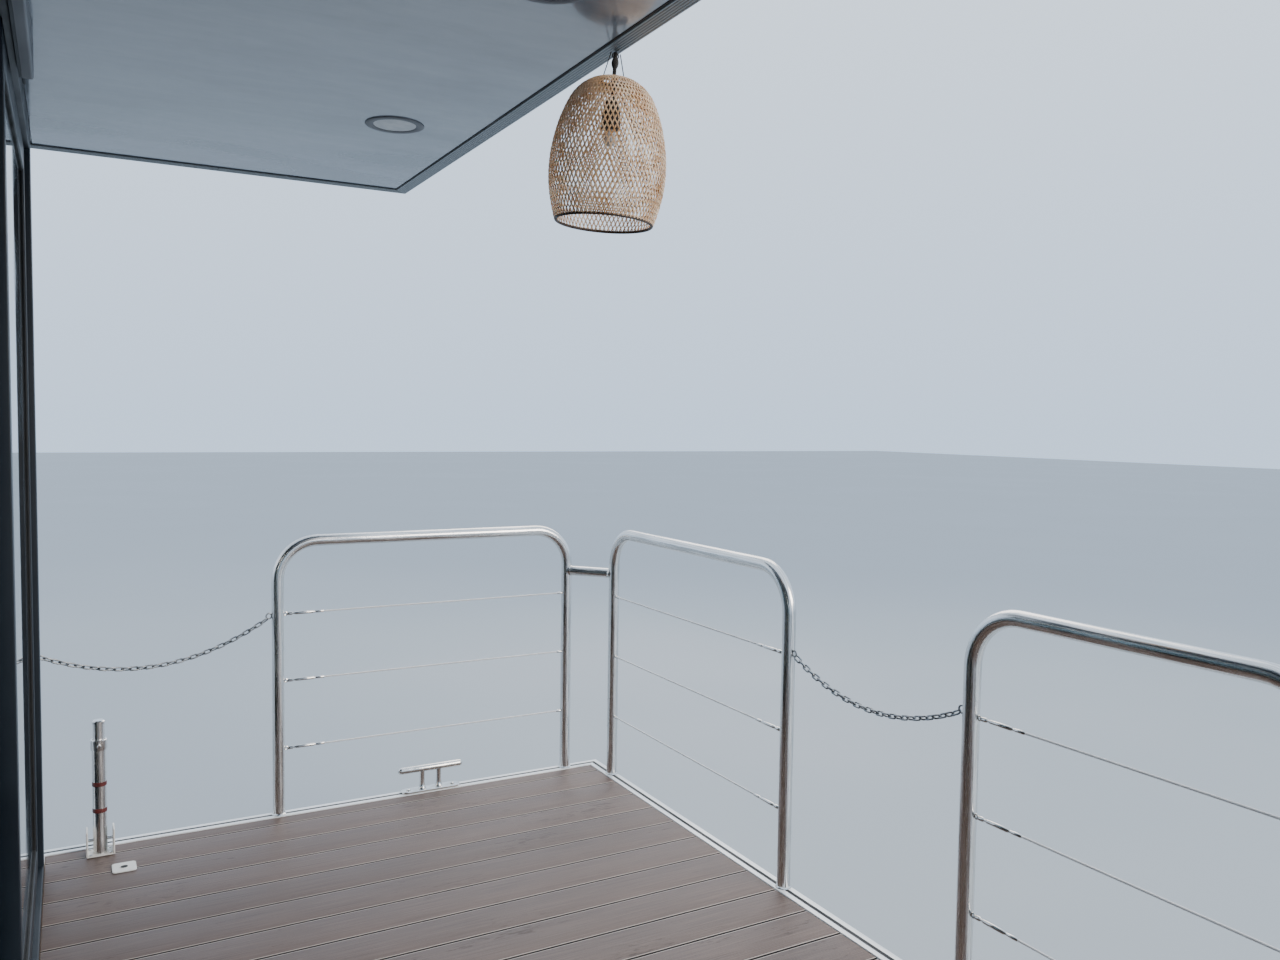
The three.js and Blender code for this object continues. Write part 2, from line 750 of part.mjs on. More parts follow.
// Gate chains, each a sagging line with a straight end link at both posts
function chain(from, to, endLink, sag) {
  const steps = 10;
  const start = new THREE.Vector3(...from).add(endLink);
  const end = new THREE.Vector3(...to).sub(endLink);
  const line = Array.from({ length: steps + 1 }, (_, i) => {
    const t = i / steps;
    const point = start.clone().lerp(end, t);
    return [point.x, point.y, point.z - 4 * sag * t * (1 - t)];
  });
  return tube([from, ...line, to], 6, 6);
}

const chainHeight = deckTop + 745;
const postFlat = tubeRadius * Math.cos(Math.PI / tubeSides) + seat; // a post's flats face along Y
const postEdge = tubeRadius + seat; // and its edges along X
const endLinkLength = 12;
for (const { name, sign } of sides) {
  const frontFrom = [bowRailX, sign * (gate.outer - postFlat), chainHeight];
  const frontTo = [bowRailX, sign * (gate.inner + postFlat), chainHeight];
  const inwards = new THREE.Vector3(0, -sign * endLinkLength, 0);
  piece(`gate_chain_bow_${name}`, chain(frontFrom, frontTo, inwards, 88), "stainless");
  const sideFrom = [bowSidePostX - postEdge, sign * sideRailY, chainHeight - 12];
  const eyeX = chainEye.x + chainEye.size / 2 + seat;
  const sideTo = [eyeX, sign * (cabinSide + chainEye.reach - 12), chainEye.z];
  const aftwards = new THREE.Vector3(-endLinkLength, 0, 0);
  piece(`gate_chain_side_${name}`, chain(sideFrom, sideTo, aftwards, 140), "stainless");
}

// Cleats on the edge profile
function cleat(x, y) {
  const base = { halfLength: 117.5, halfWidth: 24.5, height: 8 };
  const bar = { length: 257, radius: 13, height: 90, spread: 33, leg: 9 };
  const foot = trim.top + seat;
  const barZ = deckTop + bar.height;
  const { halfLength, halfWidth, height } = base;
  const plate = block(x - halfLength, x + halfLength, y - halfWidth, y + halfWidth, foot, foot + height);
  const uprights = [-1, 1].map((sign) =>
    rod([x + sign * bar.spread, y, foot + 2], [x + sign * bar.spread, y, barZ], bar.leg, 8),
  );
  const horns = rod([x - bar.length / 2, y, barZ], [x + bar.length / 2, y, barZ], bar.radius, 10);
  return join(plate, ...uprights, horns);
}

const cleatFromEnd = 736;
for (const [end, x] of [["bow", bowX - cleatFromEnd], ["stern", sternX + cleatFromEnd]]) {
  for (const { name, sign } of sides) {
    piece(`cleat_${end}_${name}`, cleat(x, sign * (deckSide - 25)), "stainless");
  }
}

// Short telescopic post by the cabin's port corner: a socket bolted between a bracket's two cheeks, and
// the tube inside it, inboard of the gate chain so that the tube draws up beside it
const postPlace = { fromBow: 1881, fromSide: 105 };
const sleeve = { outer: 21.2, inner: 18.5, height: 385, floor: 12, collar: 25, collarHeight: 36 };
const bracket = {
  half: 42,
  inboard: 30,
  outboard: 34,
  base: 6,
  cheek: 6,
  height: 85,
  bolt: 6,
  boltHeight: 50,
};
const innerTube = { radius: 17.5, length: 425, capRadius: 19.5, capHeight: 12, capMiddle: 441 };

function telescopicPost() {
  const post = new THREE.Group();
  post.position.set(bowX - postPlace.fromBow, deckSide - postPlace.fromSide, deckTop + seat);
  houseboat.add(post);
  const profile = [
    [0, 0],
    [sleeve.outer, 0],
    [sleeve.outer, sleeve.height - sleeve.collarHeight],
    [sleeve.collar, sleeve.height - sleeve.collarHeight],
    [sleeve.collar, sleeve.height],
    [sleeve.inner, sleeve.height],
    [sleeve.inner, sleeve.floor],
    [0, sleeve.floor],
  ].map(([r, z]) => new THREE.Vector2(r, z));
  const shell = new THREE.LatheGeometry(profile, 16).rotateX(Math.PI / 2);
  const { half, inboard, outboard, base, cheek, height, bolt, boltHeight } = bracket;
  const channel = join(
    block(-half, half, -inboard, outboard, 0, base),
    block(-half, cheek - half, -inboard, outboard, 0, height),
    block(half - cheek, half, -inboard, outboard, 0, height),
    rod([cheek / 2 - half, 0, boltHeight], [half - cheek / 2, 0, boltHeight], bolt, 8),
  );
  const bore = rod([0, 0, -1], [0, 0, height + 1], sleeve.outer - 1, 16);
  piece("post_socket", join(shell, cut(channel, bore)), "stainless", post);
  const { radius, length, capRadius, capHeight, capMiddle } = innerTube;
  const foot = sleeve.floor + seat;
  const inner = rod([0, 0, foot], [0, 0, foot + length], radius, 16);
  const cap = rod([0, 0, capMiddle - capHeight / 2], [0, 0, capMiddle + capHeight / 2], capRadius, 16);
  piece("post_tube", join(inner, cap), "stainless", post);
}
telescopicPost();

// Boarding ladder in the gap of the stern rail, folded up; it swings over the stern and down
const ladder = {
  x: sternX - 35,
  z: deckTop + 55,
  middle: (gate.outer + gate.inner) / 2,
  halfWidth: 185,
  reach: 850,
  radius: 14,
  bend: 60,
  pivotOut: 28,
  rungs: [200, 420, 640],
  tread: { half: 9, rise: 22 },
};
const ladderBracket = { play: 0.4, ear: 30, skin: 6, below: 60, half: 22, aft: 20 };

function ladderFrame() {
  const { x, z, middle, halfWidth, reach, radius, bend: turn, pivotOut, rungs, tread } = ladder;
  const left = middle - halfWidth;
  const right = middle + halfWidth;
  const arc = [0, 1, 2].map((i) => (i * Math.PI) / 4);
  const height = (angle) => z + reach - turn + turn * Math.sin(angle);
  const inset = (angle) => turn * (1 - Math.cos(angle));
  const frame = tube(
    [
      [x, left, z],
      ...arc.map((angle) => [x, left + inset(angle), height(angle)]),
      ...arc.reverse().map((angle) => [x, right - inset(angle), height(angle)]),
      [x, right, z],
    ],
    radius,
    8,
  );
  const pivot = rod([x, left - pivotOut, z], [x, right + pivotOut, z], radius, 12);
  const steps = rungs.map((rung) =>
    block(x - tread.half, x + tread.half, left, right, z + rung - tread.rise, z + rung + tread.rise),
  );
  return join(frame, pivot, ...steps);
}

function ladderBrackets() {
  const { x, z, middle, halfWidth, pivotOut } = ladder;
  const { play, ear, skin, below, half, aft } = ladderBracket;
  const near = halfWidth + pivotOut + play;
  const far = near + ear;
  const face = sternX - seat;
  const plate = block(face - skin, face, middle - far, middle + far, trim.bottom + below, z + half);
  const ears = [
    [middle + near, middle + far],
    [middle - far, middle - near],
  ].map(([y0, y1]) => block(x - aft, face - skin / 2, y0, y1, z - half, z + half));
  return join(plate, ...ears);
}
piece("ladder_brackets", ladderBrackets(), "stainless");
piece("boarding_ladder", ladderFrame(), "stainless");

// Outboard behind the stern: bracket, clamp, swivel that tilts, leg that steers, propeller that turns
const tiltAxis = { x: sternX - 450, z: 760 };
const steerX = tiltAxis.x - 60;
const transom = { x: tiltAxis.x + 50, thickness: 40, top: 730, bottom: 470, side: 220, arm: 25 };
const clamp = {
  inner: 62,
  outer: 88,
  foot: 520,
  footDepth: 40,
  cheek: 24,
  back: 14,
  backLow: 540,
  backHigh: 700,
};
const propeller = { z: 190, radius: 150, hub: 42, length: 70, blades: 3 };

function outboardBracket() {
  const { x, thickness, top, bottom, side, arm: armWidth } = transom;
  const root = sternX + 500;
  const under = frameBottom - seat;
  const arm = (y0, y1) =>
    slabY(
      [
        [root, under],
        [root, under - 90],
        [x + thickness, bottom],
        [x, bottom],
        [x, top],
        [x + 120, under],
      ],
      [],
      y0,
      y1,
    );
  const board = block(x, x + thickness, -side, side, bottom, top);
  return join(arm(side - armWidth, side), arm(-side, -side + armWidth), board);
}

function clampBracket() {
  const face = transom.x - seat;
  const { inner, outer, foot, footDepth, cheek, back, backLow, backHigh } = clamp;
  const { x, z } = tiltAxis;
  const side = [
    [face, foot],
    [face - footDepth, foot],
    [x - cheek - 6, z - 20],
    [x - cheek, z + cheek],
    [x + cheek, z + cheek],
    [face, z - 10],
  ];
  const ears = [slabY(side, [], inner, outer), slabY(side, [], -outer, -inner)];
  return join(...ears, block(face - back, face, -outer, outer, backLow, backHigh));
}

const swivel = { low: 560, high: 800, radius: 32, barrel: 22, web: 40, webTop: 16 };

function swivelBracket() {
  const { x, z } = tiltAxis;
  const { low, high, radius, barrel, web, webTop } = swivel;
  const reach = clamp.inner - 0.5;
  const across = rod([x, -reach, z], [x, reach, z], barrel, 12);
  const column = rod([steerX, 0, low], [steerX, 0, high], radius, 12);
  return join(across, block(steerX, x, -web, web, z - web, z + webTop), column);
}

// The leg's side view, around the swivel's column, widening into the gearcase
const leg = {
  back: steerX - 45,
  half: 38,
  yoke: 28,
  yokeFore: steerX + 36,
  topYoke: 70,
  lowYoke: 44,
  lowYokeLow: 530,
};
const antiCavitation = { aft: 260, fore: 30, side: 85, low: 372, high: 384 };
const gearcase = { nose: 90, length: 300, radius: 44 };

function outboardLeg() {
  const { back, half, yoke, yokeFore, topYoke, lowYoke, lowYokeLow } = leg;
  const top = swivel.high + yoke;
  const midsection = slabY(
    [
      [back, top],
      [back - 150, top],
      [back - 120, 460],
      [back - 95, 180],
      [back - 70, 22],
      [back - 20, 22],
      [back + 20, 180],
      [back + 25, 460],
      [back, 540],
    ],
    [],
    -half,
    half,
  );
  const upper = block(back - 40, yokeFore, -topYoke, topYoke, swivel.high + 0.5, top);
  const lower = block(back - 10, yokeFore, -lowYoke, lowYoke, lowYokeLow, swivel.low - 0.5);
  const { aft, fore, side, low, high } = antiCavitation;
  const plate = block(back - aft, back + fore, -side, side, low, high);
  const { nose, length, radius } = gearcase;
  const profile = [[0, 0], [18, 14], [34, 50], [radius, 110], [radius, length], [0, length]];
  const torpedo = new THREE.LatheGeometry(profile.map(([r, x]) => new THREE.Vector2(r, x)), 14);
  torpedo.rotateZ(Math.PI / 2).translate(back + nose, 0, propeller.z);
  return join(midsection, upper, lower, plate, torpedo);
}

const cowl = { half: 165, front: 80, depth: 400 };

function outboardCowl() {
  const low = swivel.high + leg.yoke + seat;
  const aft = -overallLength / 2;
  const fore = steerX + 40;
  const { half, front, depth } = cowl;
  const plan = new THREE.Shape();
  plan.moveTo(fore, -front);
  plan.quadraticCurveTo(fore, -half, fore - 120, -half);
  plan.lineTo(aft + 90, -half);
  plan.quadraticCurveTo(aft, 5 - half, aft, -60);
  plan.lineTo(aft, 60);
  plan.quadraticCurveTo(aft, half - 5, aft + 90, half);
  plan.lineTo(fore - 120, half);
  plan.quadraticCurveTo(fore, half, fore, front);
  const body = new THREE.ExtrudeGeometry(plan, { depth, bevelEnabled: false, curveSegments: 4 });
  body.translate(0, 0, low);
  const crown = slabY(
    [
      [fore + 1, low - 1],
      [fore + 1, low + 250],
      [fore - 60, low + 350],
      [fore - 160, low + 395],
      [aft + 120, low + 380],
      [aft - 1, low + 250],
      [aft - 1, low - 1],
    ],
    [],
    -half - 1,
    half + 1,
  );
  return geometryOf(solidOf(body).intersect(solidOf(crown)));
}

function outboardPropeller() {
  const hubStart = leg.back + gearcase.nose - gearcase.length - 2 * seat;
  const { z, length } = propeller;
  const hub = rod([hubStart, 0, z], [hubStart - length, 0, z], propeller.hub, 14);
  const blades = Array.from({ length: propeller.blades }, (_, i) => {
    const shape = new THREE.Shape();
    shape.moveTo(-16, 30);
    shape.quadraticCurveTo(-62, 90, -40, propeller.radius - 10);
    shape.quadraticCurveTo(0, propeller.radius + 6, 40, propeller.radius - 24);
    shape.quadraticCurveTo(52, 80, 16, 30);
    const blade = new THREE.ExtrudeGeometry(shape, { depth: 6, bevelEnabled: false, curveSegments: 4 });
    blade.translate(0, 0, -3).rotateX(Math.PI / 2);
    blade.rotateZ(THREE.MathUtils.degToRad(55));
    blade.rotateX((i / propeller.blades) * 2 * Math.PI);
    return blade.translate(hubStart - length / 2, 0, z);
  });
  return join(hub, ...blades);
}
piece("outboard_bracket", outboardBracket(), "galvanised");
piece("outboard_clamp", clampBracket(), "outboardPaint");
piece("outboard_swivel", swivelBracket(), "outboardPaint");
piece("outboard_leg", outboardLeg(), "outboardPaint");
piece("outboard_cowl", outboardCowl(), "outboardPaint");
piece("outboard_propeller", outboardPropeller(), "outboardPaint");

// Woven pendant under the roof's front edge, leaning a little in the wind
const lamp = {
  fromFront: 14,
  y: 800,
  lean: { aboutX: 1.7, aboutY: 3 }, // degrees
  crown: 63, // from the hook down to the shade
  wall: 4,
  cord: { radius: 4, top: 0.35, length: 113 },
  socket: { radius: [18, 22], length: 70, overlap: 5 },
  spider: { half: 28, width: 2.5, depth: 4.5 },
};

function pendant() {
  const { crown, wall, cord, socket: holder, spider: strip } = lamp;
  const group = new THREE.Group();
  group.position.set(roofFrontX - lamp.fromFront, lamp.y, lip.bottom - seat);
  const { aboutX, aboutY } = lamp.lean;
  group.rotation.set(THREE.MathUtils.degToRad(aboutX), THREE.MathUtils.degToRad(aboutY), 0);
  houseboat.add(group);
  const hook = rod([0, 0, -cord.length], [0, 0, -cord.top], cord.radius, 8);
  const socket = new THREE.CylinderGeometry(...holder.radius, holder.length, 12).rotateX(Math.PI / 2);
  socket.translate(0, 0, holder.overlap - cord.length - holder.length / 2);
  piece("lamp_hanger", join(hook, socket), "blackCord", group);
  const outside = [
    // radius, height below the crown
    [30, 0],
    [77, 21],
    [110, 72],
    [131, 143],
    [138, 214],
    [132, 273],
    [116, 333],
  ].map(([r, h]) => [r, crown + h]);
  const inside = outside.map(([r, h], i) => [r - wall, h + (i < 2 ? wall : 0)]).reverse();
  inside[0][1] = outside.at(-1)[1];
  const ring = [...outside, ...inside].map(([r, h]) => new THREE.Vector2(r, -h));
  const profile = [...ring, ring[0].clone()].reverse();
  const shade = new THREE.LatheGeometry(profile, 20).rotateX(Math.PI / 2);
  const { half, width, depth } = strip;
  const spider = block(-half, half, -width, width, -crown - depth - 0.5, -crown - 0.5);
  const bore = rod([0, 0, -crown - 15], [0, 0, 5 - crown], cord.radius + 0.4, 12);
  piece("lamp_shade", cut(join(shade, spider), bore), "bamboo", group);
}
pendant();

export default houseboat;
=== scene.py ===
# Houseboat on two pontoons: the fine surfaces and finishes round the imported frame.
# Metres. +X points to the bow, +Y to port and +Z up; the water's surface is the floor.
import math
import bmesh
import bpy
import numpy as np
from mathutils import Matrix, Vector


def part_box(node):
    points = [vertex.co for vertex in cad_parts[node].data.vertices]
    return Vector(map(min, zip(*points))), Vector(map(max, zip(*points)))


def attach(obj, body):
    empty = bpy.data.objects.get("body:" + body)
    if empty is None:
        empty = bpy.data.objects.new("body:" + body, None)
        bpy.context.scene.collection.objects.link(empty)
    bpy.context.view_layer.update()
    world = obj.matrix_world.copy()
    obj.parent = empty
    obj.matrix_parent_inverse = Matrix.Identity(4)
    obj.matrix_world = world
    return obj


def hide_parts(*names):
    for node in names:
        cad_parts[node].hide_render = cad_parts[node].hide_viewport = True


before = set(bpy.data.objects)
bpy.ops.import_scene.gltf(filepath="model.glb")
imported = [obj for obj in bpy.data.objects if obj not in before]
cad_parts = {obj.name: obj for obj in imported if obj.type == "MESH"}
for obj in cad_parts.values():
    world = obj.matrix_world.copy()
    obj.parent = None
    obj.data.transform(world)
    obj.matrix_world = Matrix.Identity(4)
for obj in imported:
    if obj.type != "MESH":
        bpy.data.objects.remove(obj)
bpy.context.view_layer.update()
print("frame loaded")

pi = math.pi


def cadSpan(node):
    # lowest and highest corner of a node, as arrays
    low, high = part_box(node)
    return np.array(low), np.array(high)


# Camera, solved from the rails, deck edge and roof edge of the photograph
viewpoint = {
    "place": (4.469, -1.353, 2.452),
    "right": (0.87364, -0.48637, 0.01382),
    "up": (0.01539, 0.05602, 0.99831),
    "forward": (0.48632, 0.87196, -0.05643),
    "lens": 28.81,
    "sensor": 36.0,
    "nearest": 0.02,
}


def makeCamera():
    data = bpy.data.cameras.new("terraceCamera")
    data.sensor_fit = "HORIZONTAL"
    data.sensor_width = viewpoint["sensor"]
    data.lens = viewpoint["lens"]
    data.clip_start = viewpoint["nearest"]
    camera = bpy.data.objects.new("terraceCamera", data)
    axes = np.array([viewpoint["right"], viewpoint["up"], np.negative(viewpoint["forward"])]).T
    camera.matrix_world = Matrix.Translation(viewpoint["place"]) @ Matrix(axes.tolist()).to_4x4()
    bpy.context.scene.collection.objects.link(camera)
    bpy.context.scene.camera = camera


makeCamera()
print("camera placed")


# Surfaces: every part is a grid of points, worked out as one array
def spread(*coordinates):
    # arrays spread over one grid and laid side by side as coordinates
    return np.stack(np.broadcast_arrays(*coordinates), -1)


def gridPart(points, wrapU=False, wrapV=False):
    # quads between neighbouring points; a grid that wraps only along v gets its two ends closed
    rows, columns = points.shape[:2]
    i = np.arange(rows if wrapU else rows - 1)[:, None]
    j = np.arange(columns if wrapV else columns - 1)[None, :]
    nextI, nextJ = (i + 1) % rows, (j + 1) % columns
    corners = [i * columns + j, nextI * columns + j, nextI * columns + nextJ, i * columns + nextJ]
    quads = spread(*corners).reshape(-1, 4)
    # distance run along u and v, in metres, measured on the widest line
    stepU = np.linalg.norm(np.roll(points, -1, 0) - points, axis=2).max(1)
    stepV = np.linalg.norm(np.roll(points, -1, 1) - points, axis=2).max(0)
    u = np.concatenate([[0], np.cumsum(stepU)])
    v = np.concatenate([[0], np.cumsum(stepV)])
    spans = [(u[i], v[j]), (u[i + 1], v[j]), (u[i + 1], v[j + 1]), (u[i], v[j + 1])]
    uv = np.stack([spread(*pair) for pair in spans], -2).reshape(-1, 4, 2)
    ends = []
    if wrapV and not wrapU:
        ends = [np.arange(columns)[::-1], (rows - 1) * columns + np.arange(columns)]
    return {"points": points.reshape(-1, 3), "quads": quads, "uv": uv, "ends": ends}


def enclosedVolume(part):
    # sum of the tetrahedra between the part's middle and its faces; negative when it is inside out
    points = part["points"] - part["points"].mean(0)
    a, b, c, d = (points[part["quads"][:, k]] for k in range(4))
    total = np.sum(a * np.cross(b, c)) + np.sum(a * np.cross(c, d))
    for end in part["ends"]:
        ring = points[end]
        total += np.sum(ring[0] * np.cross(ring[1:-1], ring[2:]))
    return total


def moved(part, offset=(0, 0, 0), turn=None):
    # a copy of a part, turned by a 3 x 3 matrix and then shifted
    points = part["points"] if turn is None else part["points"] @ np.asarray(turn).T
    return {**part, "points": points + np.asarray(offset, float)}


def mirrored(parts):
    return [{**part, "points": part["points"] * (1, -1, 1)} for part in parts]


def turnAbout(axis, degrees):
    return np.array(Matrix.Rotation(math.radians(degrees), 3, axis))


def ringSection(radius, sides=20):
    # a circle as [across, up]
    turn = np.linspace(0, 2 * pi, sides, endpoint=False)
    return radius * np.stack([np.cos(turn), np.sin(turn)], -1)


def softRectangle(u0, u1, v0, v1, radius, steps=3):
    # a rectangle whose four corners are quarter circles
    turn = (np.arange(4)[:, None] * pi / 2 + np.linspace(0, pi / 2, steps + 1)).ravel()
    cornerU = np.repeat([u1 - radius, u0 + radius, u0 + radius, u1 - radius], steps + 1)
    cornerV = np.repeat([v1 - radius, v1 - radius, v0 + radius, v0 + radius], steps + 1)
    return np.stack([cornerU + radius * np.cos(turn), cornerV + radius * np.sin(turn)], -1)


def eased(outline, radius, steps=2):
    # every corner of an outline becomes a short quadratic curve that starts and ends radius away from it
    outline = np.asarray(outline, float)
    back, ahead = np.roll(outline, 1, 0) - outline, np.roll(outline, -1, 0) - outline
    reach = [np.minimum(radius / np.linalg.norm(way, axis=1, keepdims=True), 0.45) for way in (back, ahead)]
    start, end = outline + back * reach[0], outline + ahead * reach[1]
    t = np.linspace(0, 1, steps + 1)[None, :, None]
    curve = (1 - t) ** 2 * start[:, None] + 2 * t * (1 - t) * outline[:, None] + t ** 2 * end[:, None]
    return curve.reshape(-1, 2)


def sweep(path, section, side, closed=False):
    # a section carried along a path; side is a direction that the path never runs along
    path, side = np.asarray(path, float), np.asarray(side, float)
    tangent = np.roll(path, -1, 0) - np.roll(path, 1, 0) if closed else np.gradient(path, axis=0)
    tangent /= np.linalg.norm(tangent, axis=1, keepdims=True)
    across = side - (tangent @ side)[:, None] * tangent
    across /= np.linalg.norm(across, axis=1, keepdims=True)
    rise = np.cross(across, tangent)
    points = path[:, None] + section[None, :, :1] * across[:, None] + section[None, :, 1:] * rise[:, None]
    return gridPart(points, wrapU=closed, wrapV=True)


def spokes(along, sides):
    # unit vectors round a line, evenly spaced
    along = np.asarray(along, float) / np.linalg.norm(along)
    across = np.cross(along, np.eye(3)[np.abs(along).argmin()])
    across /= np.linalg.norm(across)
    turn = np.linspace(0, 2 * pi, sides, endpoint=False)[:, None]
    return along, np.cos(turn) * across + np.sin(turn) * np.cross(along, across)


def turned(start, along, profile, sides=20):
    # a turned part: a profile of [radius, distance] about a line from start in the direction along
    radius, distance = np.asarray(profile, float).T
    along, spoke = spokes(along, sides)
    points = np.asarray(start, float) + distance[:, None, None] * along + radius[:, None, None] * spoke[None]
    return gridPart(points, wrapV=True)


def hoop(centre, along, ring, wire, sides=24, wireSides=10):
    # a round ring of round wire about a line
    section = ringSection(wire, wireSides) + (ring, 0)
    along, spoke = spokes(along, sides)
    points = np.asarray(centre, float) + section[None, :, :1] * spoke[:, None] + section[None, :, 1:] * along
    return gridPart(points, wrapU=True, wrapV=True)


def bar(start, end, radius, sides=16, chamfer=0.0):
    # a straight round bar, its ends chamfered where that shows
    along = np.subtract(end, start)
    length = np.linalg.norm(along)
    if not chamfer:
        return turned(start, along, [(radius, 0), (radius, length)], sides)
    inner = radius - chamfer
    return turned(start, along, [(inner, 0), (radius, chamfer), (radius, length - chamfer), (inner, length)], sides)


def bolt(place, along, radius=0.006, height=0.004):
    # a domed bolt head standing on a surface
    profile = [(radius, 0), (radius, 0.5 * height), (0.8 * radius, 0.85 * height), (0.4 * radius, height)]
    return turned(place, along, profile, 10)


def softBox(low, high, radius=0.002, steps=2):
    # a ball's grid whose eight parts are pushed out to the corners of a box
    low, high = np.minimum(low, high).astype(float), np.maximum(low, high).astype(float)
    radius = min(radius, 0.49 * (high - low).min())
    turn = np.linspace(0, pi / 2, steps + 1)
    latitude = np.concatenate([turn - pi / 2, turn])[:, None]
    longitude = (np.arange(4)[:, None] * pi / 2 + turn).ravel()[None]
    unit = spread(np.cos(latitude) * np.cos(longitude), np.cos(latitude) * np.sin(longitude), np.sin(latitude))
    signX, signY = np.repeat([[1, -1, -1, 1], [1, 1, -1, -1]], steps + 1, axis=1)
    signs = spread(signX, signY, np.repeat([-1, 1], steps + 1)[:, None])
    return gridPart((low + high) / 2 + ((high - low) / 2 - radius) * signs + radius * unit, wrapV=True)


def reorder(u, v, w, axes):
    # axes names what u, v and w stand for, such as "yzx"
    named = dict(zip(axes, np.broadcast_arrays(u, v, w)))
    return np.stack([named[axis] for axis in "xyz"], -1)


def slab(outline, low, high, axes="xyz", chamfer=0.001):
    # an outline in the first two axes, carried along the third, its two rims chamfered
    outline = np.asarray(outline, float)
    following = np.roll(outline, -1, 0)
    if np.sum(outline[:, 0] * following[:, 1] - outline[:, 1] * following[:, 0]) < 0:
        outline = outline[::-1]
    edge = np.roll(outline, -1, 0) - outline
    normal = np.stack([edge[:, 1], -edge[:, 0]], -1) / np.linalg.norm(edge, axis=1, keepdims=True)
    before = np.roll(normal, 1, 0)
    mitre = (normal + before) / (1 + np.sum(normal * before, 1, keepdims=True)).clip(0.3)
    inner = outline - chamfer * mitre
    rings = np.stack([inner, outline, outline, inner])
    height = np.array([low, low + chamfer, high - chamfer, high])[:, None]
    return gridPart(reorder(rings[..., 0], rings[..., 1], height, axes), wrapV=True)


def frameAround(section, inner, outer, axes="xyz"):
    # a section carried round a rectangle with mitred corners; its points are [share from the inner to the
    # outer rectangle, depth], and each rectangle is u0, u1, v0, v1
    share, depth = np.asarray(section, float).T
    cornerU, cornerV = [1, 0, 0, 1], [3, 3, 2, 2]
    inner, outer = np.asarray(inner, float), np.asarray(outer, float)
    u = inner[cornerU][:, None] + share * (outer - inner)[cornerU][:, None]
    v = inner[cornerV][:, None] + share * (outer - inner)[cornerV][:, None]
    return gridPart(reorder(u, v, depth[None], axes), wrapU=True, wrapV=True)


def frameBars(inner, outer, low, high, axes="xyz", radius=0.002, steps=2):
    # a rectangular frame with softened edges
    width = np.abs(np.subtract(outer, inner)).mean()
    section = softRectangle(0, width, low, high, radius, steps) / (width, 1)
    return frameAround(section, inner, outer, axes)


def grown(rectangle, by):
    return np.asarray(rectangle, float) + (-by, by, -by, by)


def makePiece(name, body, groups, nodes=(), sharpAngle=32):
    # one mesh of all the parts in groups, each group being (material, parts), riding on a body
    points, loops, starts, uvs, finishes = [], [], [], [], []
    base = run = 0
    for index, (_, parts) in enumerate(groups):
        for part in parts:
            order = -1 if enclosedVolume(part) < 0 else 1
            quads = part["quads"][:, ::order]
            loops.append(quads.ravel() + base)
            uvs.append(part["uv"][:, ::order].reshape(-1, 2))
            starts.append(run + 4 * np.arange(len(quads)))
            finishes.append(np.full(len(quads) + len(part["ends"]), index))
            run += quads.size
            for end in part["ends"]:
                loops.append(end[::order] + base)
                uvs.append(part["points"][end][:, :2])
                starts.append([run])
                run += len(end)
            points.append(part["points"])
            base += len(part["points"])
    starts = np.concatenate(starts).astype(np.int32)
    mesh = bpy.data.meshes.new(name)
    mesh.vertices.add(base)
    mesh.vertices.foreach_set("co", np.concatenate(points).ravel())
    mesh.loops.add(run)
    mesh.loops.foreach_set("vertex_index", np.concatenate(loops).astype(np.int32))
    mesh.polygons.add(len(starts))
    mesh.polygons.foreach_set("loop_start", starts)
    mesh.polygons.foreach_set("material_index", np.concatenate(finishes).astype(np.int32))
    mesh.uv_layers.new(name="span").data.foreach_set("uv", np.concatenate(uvs).ravel())
    mesh.update(calc_edges=True)
    merge = bmesh.new()
    merge.from_mesh(mesh)
    bmesh.ops.remove_doubles(merge, verts=merge.verts, dist=2e-6)  # closes poles and a soft box's folded rows
    merge.to_mesh(mesh)
    merge.free()
    mesh.shade_smooth()
    mesh.set_sharp_from_angle(angle=math.radians(sharpAngle))
    for material, _ in groups:
        mesh.materials.append(material)
    piece = bpy.data.objects.new(name, mesh)
    bpy.context.scene.collection.objects.link(piece)
    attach(piece, body)
    if nodes:
        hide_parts(*nodes)
    return piece


# Finishes
def srgbToLinear(hexColour):
    channels = np.array([int(hexColour[k:k + 2], 16) for k in (1, 3, 5)]) / 255
    linear = np.where(channels <= 0.04045, channels / 12.92, ((channels + 0.055) / 1.055) ** 2.4)
    return (*linear.tolist(), 1.0)


def feed(node, inputs):
    # each input of a node is a value, a colour's hex text, or a socket to link
    for socket, value in dict(inputs).items():
        if isinstance(value, bpy.types.NodeSocket):
            node.id_data.links.new(value, node.inputs[socket])
        else:
            node.inputs[socket].default_value = srgbToLinear(value) if isinstance(value, str) else value


def addNode(material, kind, inputs=(), output=0, **settings):
    # adds a shader node with its inputs and settings, and gives one of its outputs
    node = material.node_tree.nodes.new("ShaderNode" + kind)
    for name, value in settings.items():
        setattr(node, name, value)
    feed(node, inputs)
    return node.outputs[output]


def newMaterial(name, **sockets):
    # a material and its shader; socket names are written as one word, such as BaseColor
    material = bpy.data.materials.new(name)
    material.use_nodes = True
    shader = material.node_tree.nodes["Principled BSDF"]
    spaced = {socket.name.replace(" ", ""): socket.name for socket in shader.inputs}
    feed(shader, {spaced[socket]: value for socket, value in sockets.items()})
    return material, shader


def cloud(material, sizes, detail=3.0, source="Object"):
    # cloudy pattern whose patches measure about sizes, in millimetres along x, y and z, or along u and v
    place = addNode(material, "TexCoord", output=source)
    place = addNode(material, "Mapping", {"Vector": place, "Scale": [1000 / size for size in sizes]})
    return addNode(material, "TexNoise", {"Vector": place, "Scale": 1.0, "Detail": detail})


